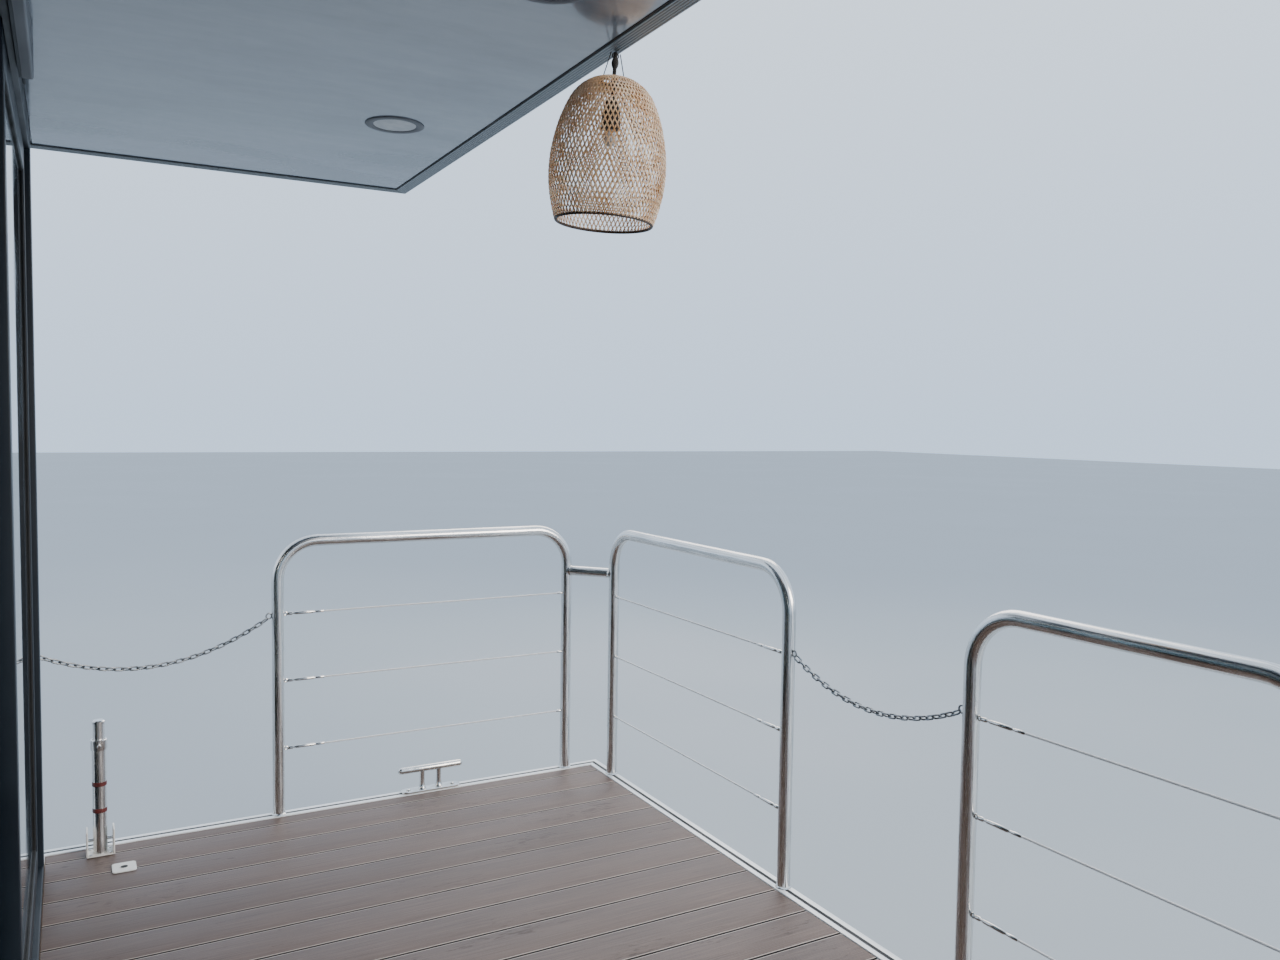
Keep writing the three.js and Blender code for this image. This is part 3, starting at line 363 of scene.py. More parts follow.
def patchyFinish(name, tones, gloss, sizes, grit=None, detail=3.0, source="Object", contrast=0.12, **sockets):
    # tone and gloss drift between two values over patches of a real size in millimetres; grit is the size and
    # depth in millimetres of a fine relief
    material, shader = newMaterial(name, **sockets)
    patches = cloud(material, sizes, detail, source)
    limits = {"Value": patches, "From Min": 0.5 - contrast, "From Max": 0.5 + contrast}
    share = addNode(material, "MapRange", limits)
    feed(shader, {
        "Base Color": addNode(material, "Mix", {0: share, 6: tones[0], 7: tones[1]}, 2, data_type="RGBA"),
        "Roughness": addNode(material, "MapRange", {**limits, "To Min": gloss[0], "To Max": gloss[1]}),
    })
    if grit:
        size, depth = grit
        grains = cloud(material, (size, size, size), 2.0, source)
        feed(shader, {"Normal": addNode(material, "Bump", {"Height": grains, "Distance": depth / 1000})})
    return material, shader


def satinStainlessTube():
    # stainless steel tube, ground and satin polished: soft streaks along it, dark and bright
    return patchyFinish(
        "satinStainlessTube", ("#C4C5C4", "#E9E9E8"), (0.17, 0.32), (160, 4, 4), source="UV", Metallic=1.0)[0]


def polishedStainlessCasting():
    # cast stainless steel, mirror polished, with faint handling marks
    return patchyFinish(
        "polishedStainlessCasting", ("#C9C8C5", "#DAD9D6"), (0.08, 0.2), (30, 30, 30), (6, 0.01), Metallic=1.0)[0]


wireRadius = 0.003


def twistedStainlessWire():
    # stainless wire laid from many strands: slanting ridges that catch the light; a wire this thin shows little
    # but its highlights, so it is drawn nearly white
    strands = {"lay": 0.048, "count": 12, "depth": 0.25}
    material, shader = newMaterial("twistedStainlessWire", BaseColor="#FAFAF8", Metallic=0.05, Roughness=0.45)
    place = addNode(material, "TexCoord", output="UV")
    run = addNode(material, "SeparateXYZ", {"Vector": place}, "X")
    girth = addNode(material, "SeparateXYZ", {"Vector": place}, "Y")
    around = 2 * pi * wireRadius
    phase = addNode(material, "Math", {0: run, 1: around / strands["lay"], 2: girth}, operation="MULTIPLY_ADD")
    phase = addNode(material, "Math", {0: phase, 1: 2 * pi * strands["count"] / around}, operation="MULTIPLY")
    ridge = addNode(material, "Math", {0: phase}, operation="SINE")
    feed(shader, {"Normal": addNode(material, "Bump", {"Height": ridge, "Distance": strands["depth"] / 1000})})
    return material


def extrudedEdgeAluminium():
    # natural anodised extrusion: nearly white, with dull patches underfoot
    return patchyFinish(
        "extrudedEdgeAluminium", ("#E2E5E6", "#F8FAFA"), (0.3, 0.46), (900, 900, 60), (5, 0.02), Metallic=0.2)[0]


def galvanisedBeam():
    # hot-dip galvanised steel: grey spangle in plates of about 12 mm
    spangle = 12
    material, shader = newMaterial("galvanisedBeam", Metallic=0.7, Roughness=0.5)
    place = addNode(material, "TexCoord", output="Object")
    plates = addNode(material, "TexVoronoi", {"Vector": place, "Scale": 1000 / spangle}, "Color")
    tone = addNode(material, "SeparateColor", {"Color": plates})
    feed(shader, {"Base Color": addNode(
        material, "Mix", {0: tone, 6: "#7F8589", 7: "#A3A8AB"}, 2, data_type="RGBA")})
    return material


boardPitch = 0.1535


def compositeDeckBoard():
    # wood-plastic boards, extruded and brushed: warm grey-brown, fine ribs with painted shade in their hollows,
    # streaks along each board, a smooth strip along its edges painted paler as a highlight, a tone of its own for
    # each board, and dark flaky patches worn by feet
    # the strip tone is a painted highlight along the boards' edges
    look = {"tones": ("#4F3E36", "#725F55"), "worn": "#3C302A", "strip": "#B5A69B", "line": "#14100E",
            "streak": (260, 2.5, 40), "patch": (420, 130, 400), "rib": 0.0048, "stripEnd": 0.0082, "lineHalf": 0.0007,
            "jointEnd": 0.0042}
    material, shader = newMaterial("compositeDeckBoard")
    place = addNode(material, "TexCoord", output="Object")
    across = addNode(material, "SeparateXYZ", {"Vector": place}, "Y")
    board = addNode(material, "Math", {0: across, 1: 1 / boardPitch, 2: 0.5}, operation="MULTIPLY_ADD")
    board = addNode(material, "Math", {0: board}, operation="FLOOR")
    own = addNode(material, "TexWhiteNoise", {"W": board}, noise_dimensions="1D")
    shift = addNode(material, "Math", {0: own, 1: 7.0}, operation="MULTIPLY")
    streaks = addNode(material, "Mapping", {
        "Vector": place, "Location": addNode(material, "CombineXYZ", {"X": shift, "Y": shift}),
        "Scale": [1000 / size for size in look["streak"]]})
    streaks = addNode(material, "TexNoise", {"Vector": streaks, "Scale": 1.0, "Detail": 5.0, "Roughness": 0.62})
    share = addNode(material, "MapRange", {"Value": streaks, "From Min": 0.34, "From Max": 0.66})
    tone = addNode(material, "Mix", {0: share, 6: look["tones"][0], 7: look["tones"][1]}, 2, data_type="RGBA")
    # distance to the nearest joint, and from it the dark joint, the edge strip with its painted highlight, a line and
    # the ribbed middle
    inward = addNode(material, "Math", {0: across, 1: boardPitch / 2}, operation="ADD")
    inward = addNode(material, "Math", {0: inward, 1: boardPitch / 2}, operation="PINGPONG")
    ribbed = addNode(material, "Math", {0: inward, 1: look["stripEnd"]}, operation="GREATER_THAN")
    line = addNode(material, "Math", {0: inward, 1: look["stripEnd"], 2: look["lineHalf"]}, operation="COMPARE")
    joint = addNode(material, "Math", {0: inward, 1: look["jointEnd"]}, operation="LESS_THAN")
    dark = addNode(material, "Math", {0: line, 1: joint}, operation="MAXIMUM")
    rib = addNode(material, "Math", {0: across, 1: 2 * pi / look["rib"]}, operation="MULTIPLY")
    rib = addNode(material, "Math", {0: rib}, operation="SINE")
    # the rib's phase darkens the hollows and lightens the crests: painted shade
    paintedRibShade = addNode(material, "MapRange", {"Value": rib, "From Min": -1.0, "To Min": 0.78, "To Max": 1.08})
    tone = addNode(material, "HueSaturation", {"Color": tone, "Value": paintedRibShade})
    flakes = addNode(material, "Math", {
        0: cloud(material, look["patch"], 6.0), 1: cloud(material, (38, 9, 30), 4.0)}, operation="ADD")
    worn = addNode(material, "MapRange", {"Value": flakes, "From Min": 1.2, "From Max": 1.32, "To Max": 0.55})
    tone = addNode(material, "Mix", {0: worn, 6: tone, 7: look["worn"]}, 2, data_type="RGBA")
    # outside the ribbed middle the board takes the pale strip tone: a painted highlight
    tone = addNode(material, "Mix", {0: ribbed, 6: look["strip"], 7: tone}, 2, data_type="RGBA")
    tone = addNode(material, "Mix", {0: dark, 6: tone, 7: look["line"]}, 2, data_type="RGBA")
    lift = addNode(material, "MapRange", {"Value": own, "To Min": 0.86, "To Max": 1.08})
    relief = addNode(material, "Math", {0: rib, 1: 0.3, 2: streaks}, operation="MULTIPLY_ADD")
    relief = addNode(material, "Math", {0: relief, 1: worn}, operation="SUBTRACT")
    relief = addNode(material, "Math", {0: relief, 1: ribbed}, operation="MULTIPLY")
    feed(shader, {
        "Base Color": addNode(material, "HueSaturation", {"Color": tone, "Value": lift}),
        "Roughness": addNode(material, "MapRange", {"Value": worn, "To Min": 0.46, "To Max": 0.66}),
        "Normal": addNode(material, "Bump", {"Height": relief, "Distance": 0.0006}),
    })
    return material


def oakLaminateFloor():
    # oak laminate planks, 190 mm wide and 1285 mm long, satin with printed grain
    material, shader = newMaterial("oakLaminateFloor", Roughness=0.42)
    place = addNode(material, "TexCoord", output="Object")
    planks = addNode(material, "TexBrick", {
        "Vector": place, "Color1": "#9C8467", "Color2": "#B39A7B", "Mortar": "#5A4A39", "Scale": 1.0,
        "Mortar Size": 0.0008, "Brick Width": 1.285, "Row Height": 0.19})
    fibres = cloud(material, (240, 5, 40), 5.0)
    tint = addNode(material, "MapRange", {
        "Value": fibres, "From Min": 0.3, "From Max": 0.7, "To Min": 0.86, "To Max": 1.08})
    feed(shader, {
        "Base Color": addNode(material, "HueSaturation", {"Color": planks, "Value": tint}),
        "Normal": addNode(material, "Bump", {"Height": fibres, "Distance": 0.0001}),
    })
    return material


def pontoonCoating():
    # two-pack coating on the pontoons: blue-grey above, dull dark antifouling below the waterline, and a thin
    # pale boot top between them
    lines = {"bootLow": 0.465, "bootHigh": 0.505}
    material, shader = patchyFinish(
        "pontoonCoating", ("#2E3A43", "#394750"), (0.26, 0.42), (600, 600, 200), (9, 0.06))
    height = addNode(material, "SeparateXYZ", {"Vector": addNode(material, "TexCoord", output="Object")}, "Z")
    below = addNode(material, "Math", {0: height, 1: lines["bootLow"]}, operation="LESS_THAN")
    above = addNode(material, "Math", {0: height, 1: lines["bootHigh"]}, operation="GREATER_THAN")
    topside = shader.inputs["Base Color"].links[0].from_socket
    tone = addNode(material, "Mix", {0: above, 6: "#C9CCCB", 7: topside}, 2, data_type="RGBA")
    tone = addNode(material, "Mix", {0: below, 6: tone, 7: "#1C2226"}, 2, data_type="RGBA")
    feed(shader, {"Base Color": tone})
    return material


def wallLaminate():
    # glass-fibre faced sandwich panel, rolled gelcoat: off-white with slow waves and a faint orange peel
    return patchyFinish("wallLaminate", ("#D3D2CC", "#DEDDD8"), (0.3, 0.42), (900, 900, 500), (14, 0.12))[0]


def anthraciteCoat():
    # powder coat on aluminium, anthracite: even, with a fine orange peel
    return patchyFinish(
        "anthraciteCoat", ("#0B1620", "#131F29"), (0.4, 0.52), (300, 300, 300), (2.5, 0.04), SpecularIORLevel=0.35)[0]


def rubberGasket():
    # black rubber profile, extruded: dull, paler where it has dried
    return patchyFinish("rubberGasket", ("#121314", "#1D1F20"), (0.6, 0.8), (120, 120, 120), (1.5, 0.03))[0]


def tintedGlass():
    # double glazing, lightly tinted: clear, with a faint film that breaks its gloss
    material, shader = newMaterial("tintedGlass", BaseColor="#B4C4C7", IOR=1.5, TransmissionWeight=1.0)
    film = cloud(material, (500, 500, 240), 4.0)
    feed(shader, {"Roughness": addNode(material, "MapRange", {
        "Value": film, "From Min": 0.4, "From Max": 0.7, "To Min": 0.0, "To Max": 0.06})})
    return material


def whiteBoard():
    # melamine-faced board inside: warm white, silk gloss
    return patchyFinish("whiteBoard", ("#DAD7CF", "#E6E3DC"), (0.42, 0.52), (700, 700, 700), (3, 0.02))[0]


def compactWorktop():
    # solid laminate worktop: dark grey with pale flecks of 3 mm
    fleck = 3
    material, shader = newMaterial("compactWorktop", Roughness=0.34)
    flecks = addNode(material, "TexVoronoi", {
        "Vector": addNode(material, "TexCoord", output="Object"), "Scale": 1000 / fleck})
    share = addNode(material, "MapRange", {"Value": flecks, "From Min": 0.08, "From Max": 0.22})
    feed(shader, {"Base Color": addNode(
        material, "Mix", {0: share, 6: "#8B8A86", 7: "#3A3B3C"}, 2, data_type="RGBA")})
    return material


def roofMembrane():
    # reinforced roof sheet, welded: pale grey with a fine woven relief and dusty patches
    return patchyFinish("roofMembrane", ("#A9ACAD", "#BDC0C1"), (0.55, 0.75), (800, 500, 300), (4, 0.15), 6.0)[0]


def satinRoofAluminium():
    # coated roof edge profile: mid grey with a blue tinge, satin, faint streaks along it
    return patchyFinish(
        "satinRoofAluminium", ("#6E757A", "#81898E"), (0.3, 0.42), (700, 700, 25), (5, 0.02), Metallic=0.45)[0]


def glossSoffit():
    # high-gloss ceiling panel, extruded and lacquered: blue-grey with long faint clouds
    return patchyFinish(
        "glossSoffit", ("#6F7A86", "#949FAB"), (0.12, 0.26), (700, 240, 300), (120, 0.3), 5.0,
        CoatWeight=0.6, CoatRoughness=0.06)[0]


def greyCassetteCoat():
    # powder coat on the light box, mid grey, with a fine texture
    return patchyFinish("greyCassetteCoat", ("#5B5F66", "#676B72"), (0.42, 0.55), (200, 200, 200), (1.5, 0.05))[0]


solar = {
    "start": 0.202, "pitch": 1.154, "width": 1.134, "halfLength": 0.86, "count": 4, "bottom": 3.528, "top": 3.563,
    "edge": 0.012, "barY": 0.5, "barHalf": 0.02, "barSpan": (0.162, 4.838), "barBottom": 3.488, "roof": 3.45,
    "foot": (0.04, 0.04), "footSkin": 0.008, "leg": (0.028, 0.026), "clamp": (0.018, 0.02), "stem": (0.008, 0.018),
}


def solarGlass():
    # black half-cut silicon cells under glass, 182 mm by 92 mm, with thin pale lines between them
    grid = {"margin": 0.021, "cell": 0.182, "half": 0.0925, "line": 0.0012}
    material, shader = newMaterial("solarGlass", Roughness=0.12, CoatWeight=1.0, CoatRoughness=0.03, IOR=1.5)
    place = addNode(material, "TexCoord", output="Object")
    x = addNode(material, "SeparateXYZ", {"Vector": place}, "X")
    y = addNode(material, "SeparateXYZ", {"Vector": place}, "Y")
    x = addNode(material, "Math", {0: x, 1: -solar["start"]}, operation="ADD")
    x = addNode(material, "Math", {0: x, 1: solar["pitch"]}, operation="MODULO")
    x = addNode(material, "Math", {0: x, 1: -grid["margin"]}, operation="ADD")
    cells = addNode(material, "TexBrick", {
        "Vector": addNode(material, "CombineXYZ", {"X": x, "Y": y}), "Color1": "#0E1420", "Color2": "#131B2A",
        "Mortar": "#6D737B", "Scale": 1.0, "Mortar Size": grid["line"], "Brick Width": grid["cell"],
        "Row Height": grid["half"]}, offset=0.0)
    feed(shader, {"Base Color": cells})
    return material


def anodisedBlackFrame():
    # black anodised extrusion round the solar panels: satin, slightly metallic
    return patchyFinish("anodisedBlackFrame", ("#17191C", "#212428"), (0.3, 0.4), (300, 300, 60), Metallic=0.6)[0]


def outboardEnamel():
    # baked enamel on the outboard: dark grey with a slight metal flake under clear lacquer
    return patchyFinish(
        "outboardEnamel", ("#23272B", "#2B3036"), (0.22, 0.32), (150, 150, 150), (0.8, 0.01), Metallic=0.3,
        CoatWeight=0.7, CoatRoughness=0.08)[0]


def blackTextileCord():
    # braided textile flex: black, matt, with a fine diagonal braid
    braid = {"pitch": 2.2, "depth": 0.3}
    material, shader = newMaterial("blackTextileCord", BaseColor="#1B1918", Roughness=0.86, SheenWeight=0.3)
    place = addNode(material, "TexCoord", output="UV")
    place = addNode(material, "Mapping", {"Vector": place, "Rotation": (0, 0, pi / 4)})
    weave = addNode(material, "TexChecker", {"Vector": place, "Scale": 1000 / braid["pitch"]}, "Fac")
    feed(shader, {"Normal": addNode(material, "Bump", {"Height": weave, "Distance": braid["depth"] / 1000})})
    return material


def splitBamboo():
    # split bamboo strips: honey to cream, toned from strip to strip, with fine fibres along each
    fibre = {"long": 70, "wide": 3}
    material, shader = newMaterial("splitBamboo", Roughness=0.5, SubsurfaceWeight=0.08)
    fibres = cloud(material, (fibre["long"], fibre["wide"], fibre["wide"]), 4.0, "UV")
    share = addNode(material, "Math", {0: fibres, 1: cloud(material, (45, 45, 60))}, operation="ADD")
    share = addNode(material, "MapRange", {"Value": share, "From Min": 0.75, "From Max": 1.25})
    feed(shader, {
        "Base Color": addNode(material, "Mix", {0: share, 6: "#B78552", 7: "#FDE3C3"}, 2, data_type="RGBA"),
        "Normal": addNode(material, "Bump", {"Height": fibres, "Distance": 0.0002}),
    })
    return material


def darkRattan():
    # dyed rattan at the shade's rims: dark brown, silky
    return patchyFinish("darkRattan", ("#33261D", "#4C3828"), (0.45, 0.6), (20, 20, 20), (1.5, 0.1))[0]


def whitePlastic():
    # moulded white plastic: slightly yellowed, fine sparked texture
    return patchyFinish("whitePlastic", ("#DEDCD5", "#EAE9E4"), (0.34, 0.46), (60, 60, 60), (1.2, 0.03))[0]


def frostedLens():
    # opal acrylic lens over the ceiling lamps: milky, softly mottled
    return patchyFinish(
        "frostedLens", ("#C9CED2", "#DDE1E4"), (0.3, 0.4), (25, 25, 25), (2, 0.03), TransmissionWeight=0.15)[0]


def smokedAcrylic():
    # thermoformed acrylic dome of the hatch: smoke grey and glossy, hazed by the sun
    return patchyFinish(
        "smokedAcrylic", ("#3B4042", "#4A5052"), (0.05, 0.16), (200, 200, 200), None, 5.0,
        TransmissionWeight=0.55, IOR=1.49, CoatWeight=0.4)[0]


def dullChainSteel():
    # bright-zinc steel chain gone dull outdoors: mid grey, darker where links rub
    return patchyFinish(
        "dullChainSteel", ("#74787B", "#9DA1A4"), (0.35, 0.5), (25, 25, 25), (3, 0.02), Metallic=0.85)[0]


def redTape():
    # red marking band: matt, scuffed at its edges
    return patchyFinish("redTape", ("#54211F", "#6C2D29"), (0.5, 0.65), (12, 12, 12), (1.5, 0.03))[0]


tubeSteel = satinStainlessTube()
casting = polishedStainlessCasting()
wireSteel = twistedStainlessWire()
edgeMetal = extrudedEdgeAluminium()
zinc = galvanisedBeam()
deckBoard = compositeDeckBoard()
floorOak = oakLaminateFloor()
hullCoat = pontoonCoating()
laminate = wallLaminate()
coat = anthraciteCoat()
rubber = rubberGasket()
glass = tintedGlass()
melamine = whiteBoard()
compact = compactWorktop()
membrane = roofMembrane()
roofMetal = satinRoofAluminium()
ceilingGloss = glossSoffit()
cassetteCoat = greyCassetteCoat()
cellGlass = solarGlass()
blackFrame = anodisedBlackFrame()
enamel = outboardEnamel()
cordBlack = blackTextileCord()
bamboo = splitBamboo()
rattan = darkRattan()
plastic = whitePlastic()
lens = frostedLens()
acrylic = smokedAcrylic()
chainSteel = dullChainSteel()
tape = redTape()

keptNodes = {
    "deck_frame": zinc, "cabin_floor": floorOak, "wall_port": laminate, "wall_starboard": laminate,
    "wall_aft": laminate, "cabin_partition": melamine, "roof_panel": membrane, "outboard_bracket": zinc,
    "window_port_fore": glass, "window_port_aft": glass, "window_starboard_fore": glass,
    "window_starboard_aft": glass, "aft_door_pane": glass, "front_fixed_pane_port": glass,
    "front_fixed_pane_starboard": glass, "front_sliding_pane_port": glass, "front_sliding_pane_starboard": glass,
}
for node, material in keptNodes.items():
    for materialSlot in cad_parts[node].material_slots:
        materialSlot.material = material
print("finishes made")

# Pontoons
hull = {
    "bowRake": 0.78, "sternRake": 0.42, "shoulder": 0.38, "sheer": 1.3, "chine": 0.18, "corner": 0.1,
    "strake": (0.77, 0.81), "strakeProud": 0.007,
}


def pontoon(low, high):
    # the bottom line rises to the shoulder as a power of the distance into the rake, and the plan's corners are
    # quarter circles; each section's flat bottom turns up through quarter circles into upright sides
    rounding = hull["corner"] * (1 - np.cos(np.linspace(0, pi / 2, 8)))
    stern = low[0] + np.concatenate([rounding, np.linspace(hull["corner"], hull["sternRake"], 10)[1:]])
    bow = high[0] - np.concatenate([rounding, np.linspace(hull["corner"], hull["bowRake"], 16)[1:]])
    x = np.concatenate([stern, bow[::-1]])[:, None]
    intoStern = ((low[0] + hull["sternRake"] - x) / hull["sternRake"]).clip(0)
    intoBow = ((x - high[0] + hull["bowRake"]) / hull["bowRake"]).clip(0)
    bottom = hull["shoulder"] * (intoStern + intoBow) ** hull["sheer"]
    past = (hull["corner"] - np.minimum(x - low[0], high[0] - x)).clip(0)
    half = (high[1] - low[1]) / 2 - hull["corner"] + np.sqrt(hull["corner"] ** 2 - past ** 2)
    chine = np.minimum(hull["chine"], 0.6 * (high[2] - bottom))
    turn = np.linspace(0, pi / 2, 9)
    sideway, down = chine * (1 - np.sin(turn)), chine * (1 - np.cos(turn))
    y = np.concatenate([-half, -half + chine - chine * np.cos(turn), half - sideway, half], 1)
    z = np.concatenate([high[2] + 0 * x, bottom + chine - chine * np.sin(turn), bottom + down, high[2] + 0 * x], 1)
    return gridPart(spread(x, (low[1] + high[1]) / 2 + y, z), wrapV=True)


def makeHull(name, node):
    low, high = cadSpan(node)
    inset = (hull["corner"], -hull["corner"])
    strakes = [
        softBox((low[0] + inset[0], face - hull["strakeProud"], hull["strake"][0]),
                (high[0] + inset[1], face + hull["strakeProud"], hull["strake"][1]), 0.006)
        for face in (low[1], high[1])
    ]
    makePiece(name, "boat", [(hullCoat, [pontoon(low, high)]), (rubber, strakes)], [node])


makeHull("pontoonPort", "hull_port")
makeHull("pontoonStarboard", "hull_starboard")

# Deck edge and boards
edge = {"width": 0.05, "groove": 0.013, "grooveDepth": 0.008, "round": 0.0014, "shadow": 0.003, "gap": 0.0003,
        "sealBelow": 0.0006}
boards = {"joint": 0.005, "depth": 0.012, "round": 0.0022}


def deckEdge():
    low, high = cadSpan("deck_edge_trim")
    width, bottom, top = edge["width"], low[2], high[2]
    near, far = (width - edge["groove"]) / 2, (width + edge["groove"]) / 2
    middle, shadow = (bottom + top) / 2 + 0.02, edge["shadow"]
    section = eased([
        (edge["gap"], bottom), (width, bottom), (width, middle), (width - shadow, middle),
        (width - shadow, middle + shadow), (width, middle + shadow), (width, top), (far, top),
        (far, top - edge["grooveDepth"]), (near, top - edge["grooveDepth"]), (near, top), (edge["gap"], top),
    ], edge["round"]) / (width, 1)
    outer = (low[0], high[0], low[1], high[1])
    body = frameAround(section, grown(outer, -width), outer)
    floor = top - edge["grooveDepth"]
    seal = frameBars(grown(outer, -far), grown(outer, -near), floor - 0.001, top - edge["sealBelow"], radius=0.0004)
    makePiece("deckEdge", "boat", [(edgeMetal, [body]), (rubber, [seal])], ["deck_edge_trim"])


def layBoards(name, node):
    low, high = cadSpan(node)
    joints = boardPitch * (np.arange(-16, 16) + 0.5)
    starts = np.concatenate([[low[1]], joints + boards["joint"] / 2])
    ends = np.concatenate([joints - boards["joint"] / 2, [high[1]]])
    floor = high[2] - boards["depth"]
    planks = [
        slab(softRectangle(y0, y1, floor, high[2], boards["round"], 2), low[0], high[0], "yzx", 0.0015)
        for y0, y1 in zip(starts, ends)
    ]
    bed = softBox(low, (high[0], high[1], floor + 0.0002), 0.001)
    makePiece(name, "boat", [(deckBoard, planks), (rubber, [bed])], [node])


deckEdge()
layBoards("bowBoards", "bow_deck_boards")
layBoards("sternBoards", "stern_deck_boards")
print("hulls and deck made")

# Cabin trim on the side walls: window frames, base strips, joint covers, corner angles and margin plates
cabin = {
    "side": 2.36, "wall": 0.08, "aft": -3.78, "front": 4.259, "floor": 1.005, "ceiling": 3.3197,
    "sash": 0.045, "seal": 0.006, "flange": 0.028, "proud": 0.007, "joints": (-3.2, -0.55, 0.55), "cover": 0.034,
    "base": 0.055,
    # sill, as distance out from the wall's face and below the pane: a sloping top and a drip along its front
    "sill": ((-0.001, 0.002), (0.032, 0.012), (0.032, 0.03), (0.026, 0.03), (0.026, 0.02), (-0.001, 0.014)),
    "angle": 0.04, "skin": 0.003, "marginSide": 2.4495, "marginFront": 4.3785, "marginSkin": 0.0025,
}


def gaskets(rectangle, faces, width, skin, axes, radius):
    # a gasket round a pane on each of its faces, lapping pane and frame by a millimetre
    lap = 0.001
    low, high = faces
    inner, outer = grown(rectangle, -width), grown(rectangle, lap)
    return [
        frameBars(inner, outer, high - lap, high + skin, axes, radius),
        frameBars(inner, outer, low - skin, low + lap, axes, radius),
    ]


def windowTrim(node, faceOut, faceIn):
    # sash frames on both faces of a pane, an outer flange, an inner casing and a sill with a drip
    low, high = cadSpan(node)
    hole = (low[0], high[0], low[2], high[2])
    sash = grown(hole, -cabin["sash"])
    proud, flange = cabin["proud"], cabin["flange"]
    sill = np.array(cabin["sill"]) * (1, -1) + (faceOut, low[2])
    frames = [
        frameBars(sash, hole, high[1], faceOut + proud, "xzy", 0.003),
        frameBars(sash, hole, faceIn - proud, low[1], "xzy", 0.003),
        frameBars(grown(hole, -0.004), grown(hole, flange), faceOut - 0.001, faceOut + 0.005, "xzy", 0.0015),
        frameBars(grown(hole, -0.004), grown(hole, flange + 0.01), faceIn - 0.008, faceIn + 0.001, "xzy", 0.0015),
        slab(eased(sill, 0.0015), low[0] - flange, high[0] + flange, "yzx"),
    ]
    return frames, gaskets(sash, (low[1], high[1]), cabin["seal"], cabin["seal"], "xzy", 0.001)


def wallTrim():
    side, skin, floor, ceiling = cabin["side"], cabin["skin"], cabin["floor"], cabin["ceiling"]
    aft, front, leg = cabin["aft"], cabin["front"], cabin["angle"]
    strips = [
        softBox((x - cabin["cover"] / 2, side - 0.001, floor + cabin["base"]),
                (x + cabin["cover"] / 2, side + 0.004, ceiling), 0.0015)
        for x in cabin["joints"]
    ]
    base = softBox((aft, side - 0.001, floor + 0.001), (front, side + 0.006, floor + cabin["base"]), 0.002)
    cornice = softBox((aft, side - 0.001, ceiling - 0.05), (front, side + 0.006, ceiling), 0.002)
    angle = slab(eased([
        (aft - skin, side + skin), (aft + leg, side + skin), (aft + leg, side), (aft, side),
        (aft, side - leg), (aft - skin, side - leg)], 0.001), floor + 0.001, ceiling)
    skirting = softBox(
        (aft + cabin["wall"], side - cabin["wall"] - 0.012, floor),
        (front, side - cabin["wall"] + 0.001, floor + 0.07))
    # a plate covers the floor's margin outside the wall
    margin = softBox((aft, side - 0.001, floor - 0.0005),
                     (cabin["marginFront"], cabin["marginSide"], floor + cabin["marginSkin"]), 0.001)
    return strips, [base, cornice, angle, margin], [skirting]


def makeSideTrim():
    frames, seals = [], []
    for node in ("window_port_fore", "window_port_aft"):
        more = windowTrim(node, cabin["side"], cabin["side"] - cabin["wall"])
        frames += more[0]
        seals += more[1]
    strips, metals, skirtings = wallTrim()
    groups = [(coat, frames), (rubber, seals), (laminate, strips), (edgeMetal, metals), (melamine, skirtings)]
    makePiece("sideTrimPort", "boat", groups)
    groups = [(material, mirrored(parts)) for material, parts in groups]
    makePiece("sideTrimStarboard", "boat", groups)


makeSideTrim()

# Chain eyes on the cabin's side walls, just behind the glazed front
wallEye = {"x": 4.239, "z": 1.745, "half": 0.0106, "tip": 2.4155, "plate": (0.019, 0.036), "plateSkin": 0.004}


def makeWallEyes():
    x, z, half, face = wallEye["x"], wallEye["z"], wallEye["half"], cabin["side"]
    plateX, plateZ = wallEye["plate"]
    parts = [
        softBox((x - half, face, z - half), (x + half, wallEye["tip"], z + half), 0.004, 3),
        softBox((x - plateX, face, z - plateZ), (x + plateX, face + wallEye["plateSkin"], z + plateZ), 0.0015),
        *[bolt((x, face + wallEye["plateSkin"], z + sign * 0.026), (0, 1, 0), 0.005, 0.003) for sign in (-1, 1)],
    ]
    makePiece("wallEyePort", "boat", [(casting, parts)])
    makePiece("wallEyeStarboard", "boat", [(casting, mirrored(parts))])


makeWallEyes()

# Glazed front: a frame with its threshold, two fixed leaves and two sliding ones
front = {
    "opening": (-2.29, 2.29, 1.035, 3.2497), "edge": 0.003, "seal": 0.007, "sealSkin": 0.005,
    "shoeInset": 0.012, "shoeFrom": 0.15,
    "shoe": 0.06, "clearance": 0.005, "lips": ((4.2765, 4.2835), (4.3045, 4.3115)), "lip": 0.0038,
    "pullZ": 2.05, "pull": (0.013, 0.085), "pullSkin": 0.0025,
}


def glazing(paneNode, skin):
    # a pane's rectangle seen from the bow, and its gaskets
    low, high = cadSpan(paneNode)
    rectangle = (low[1], high[1], low[2], high[2])
    return rectangle, gaskets(rectangle, (low[0], high[0]), front["seal"], skin, "yzx", 0.0012)


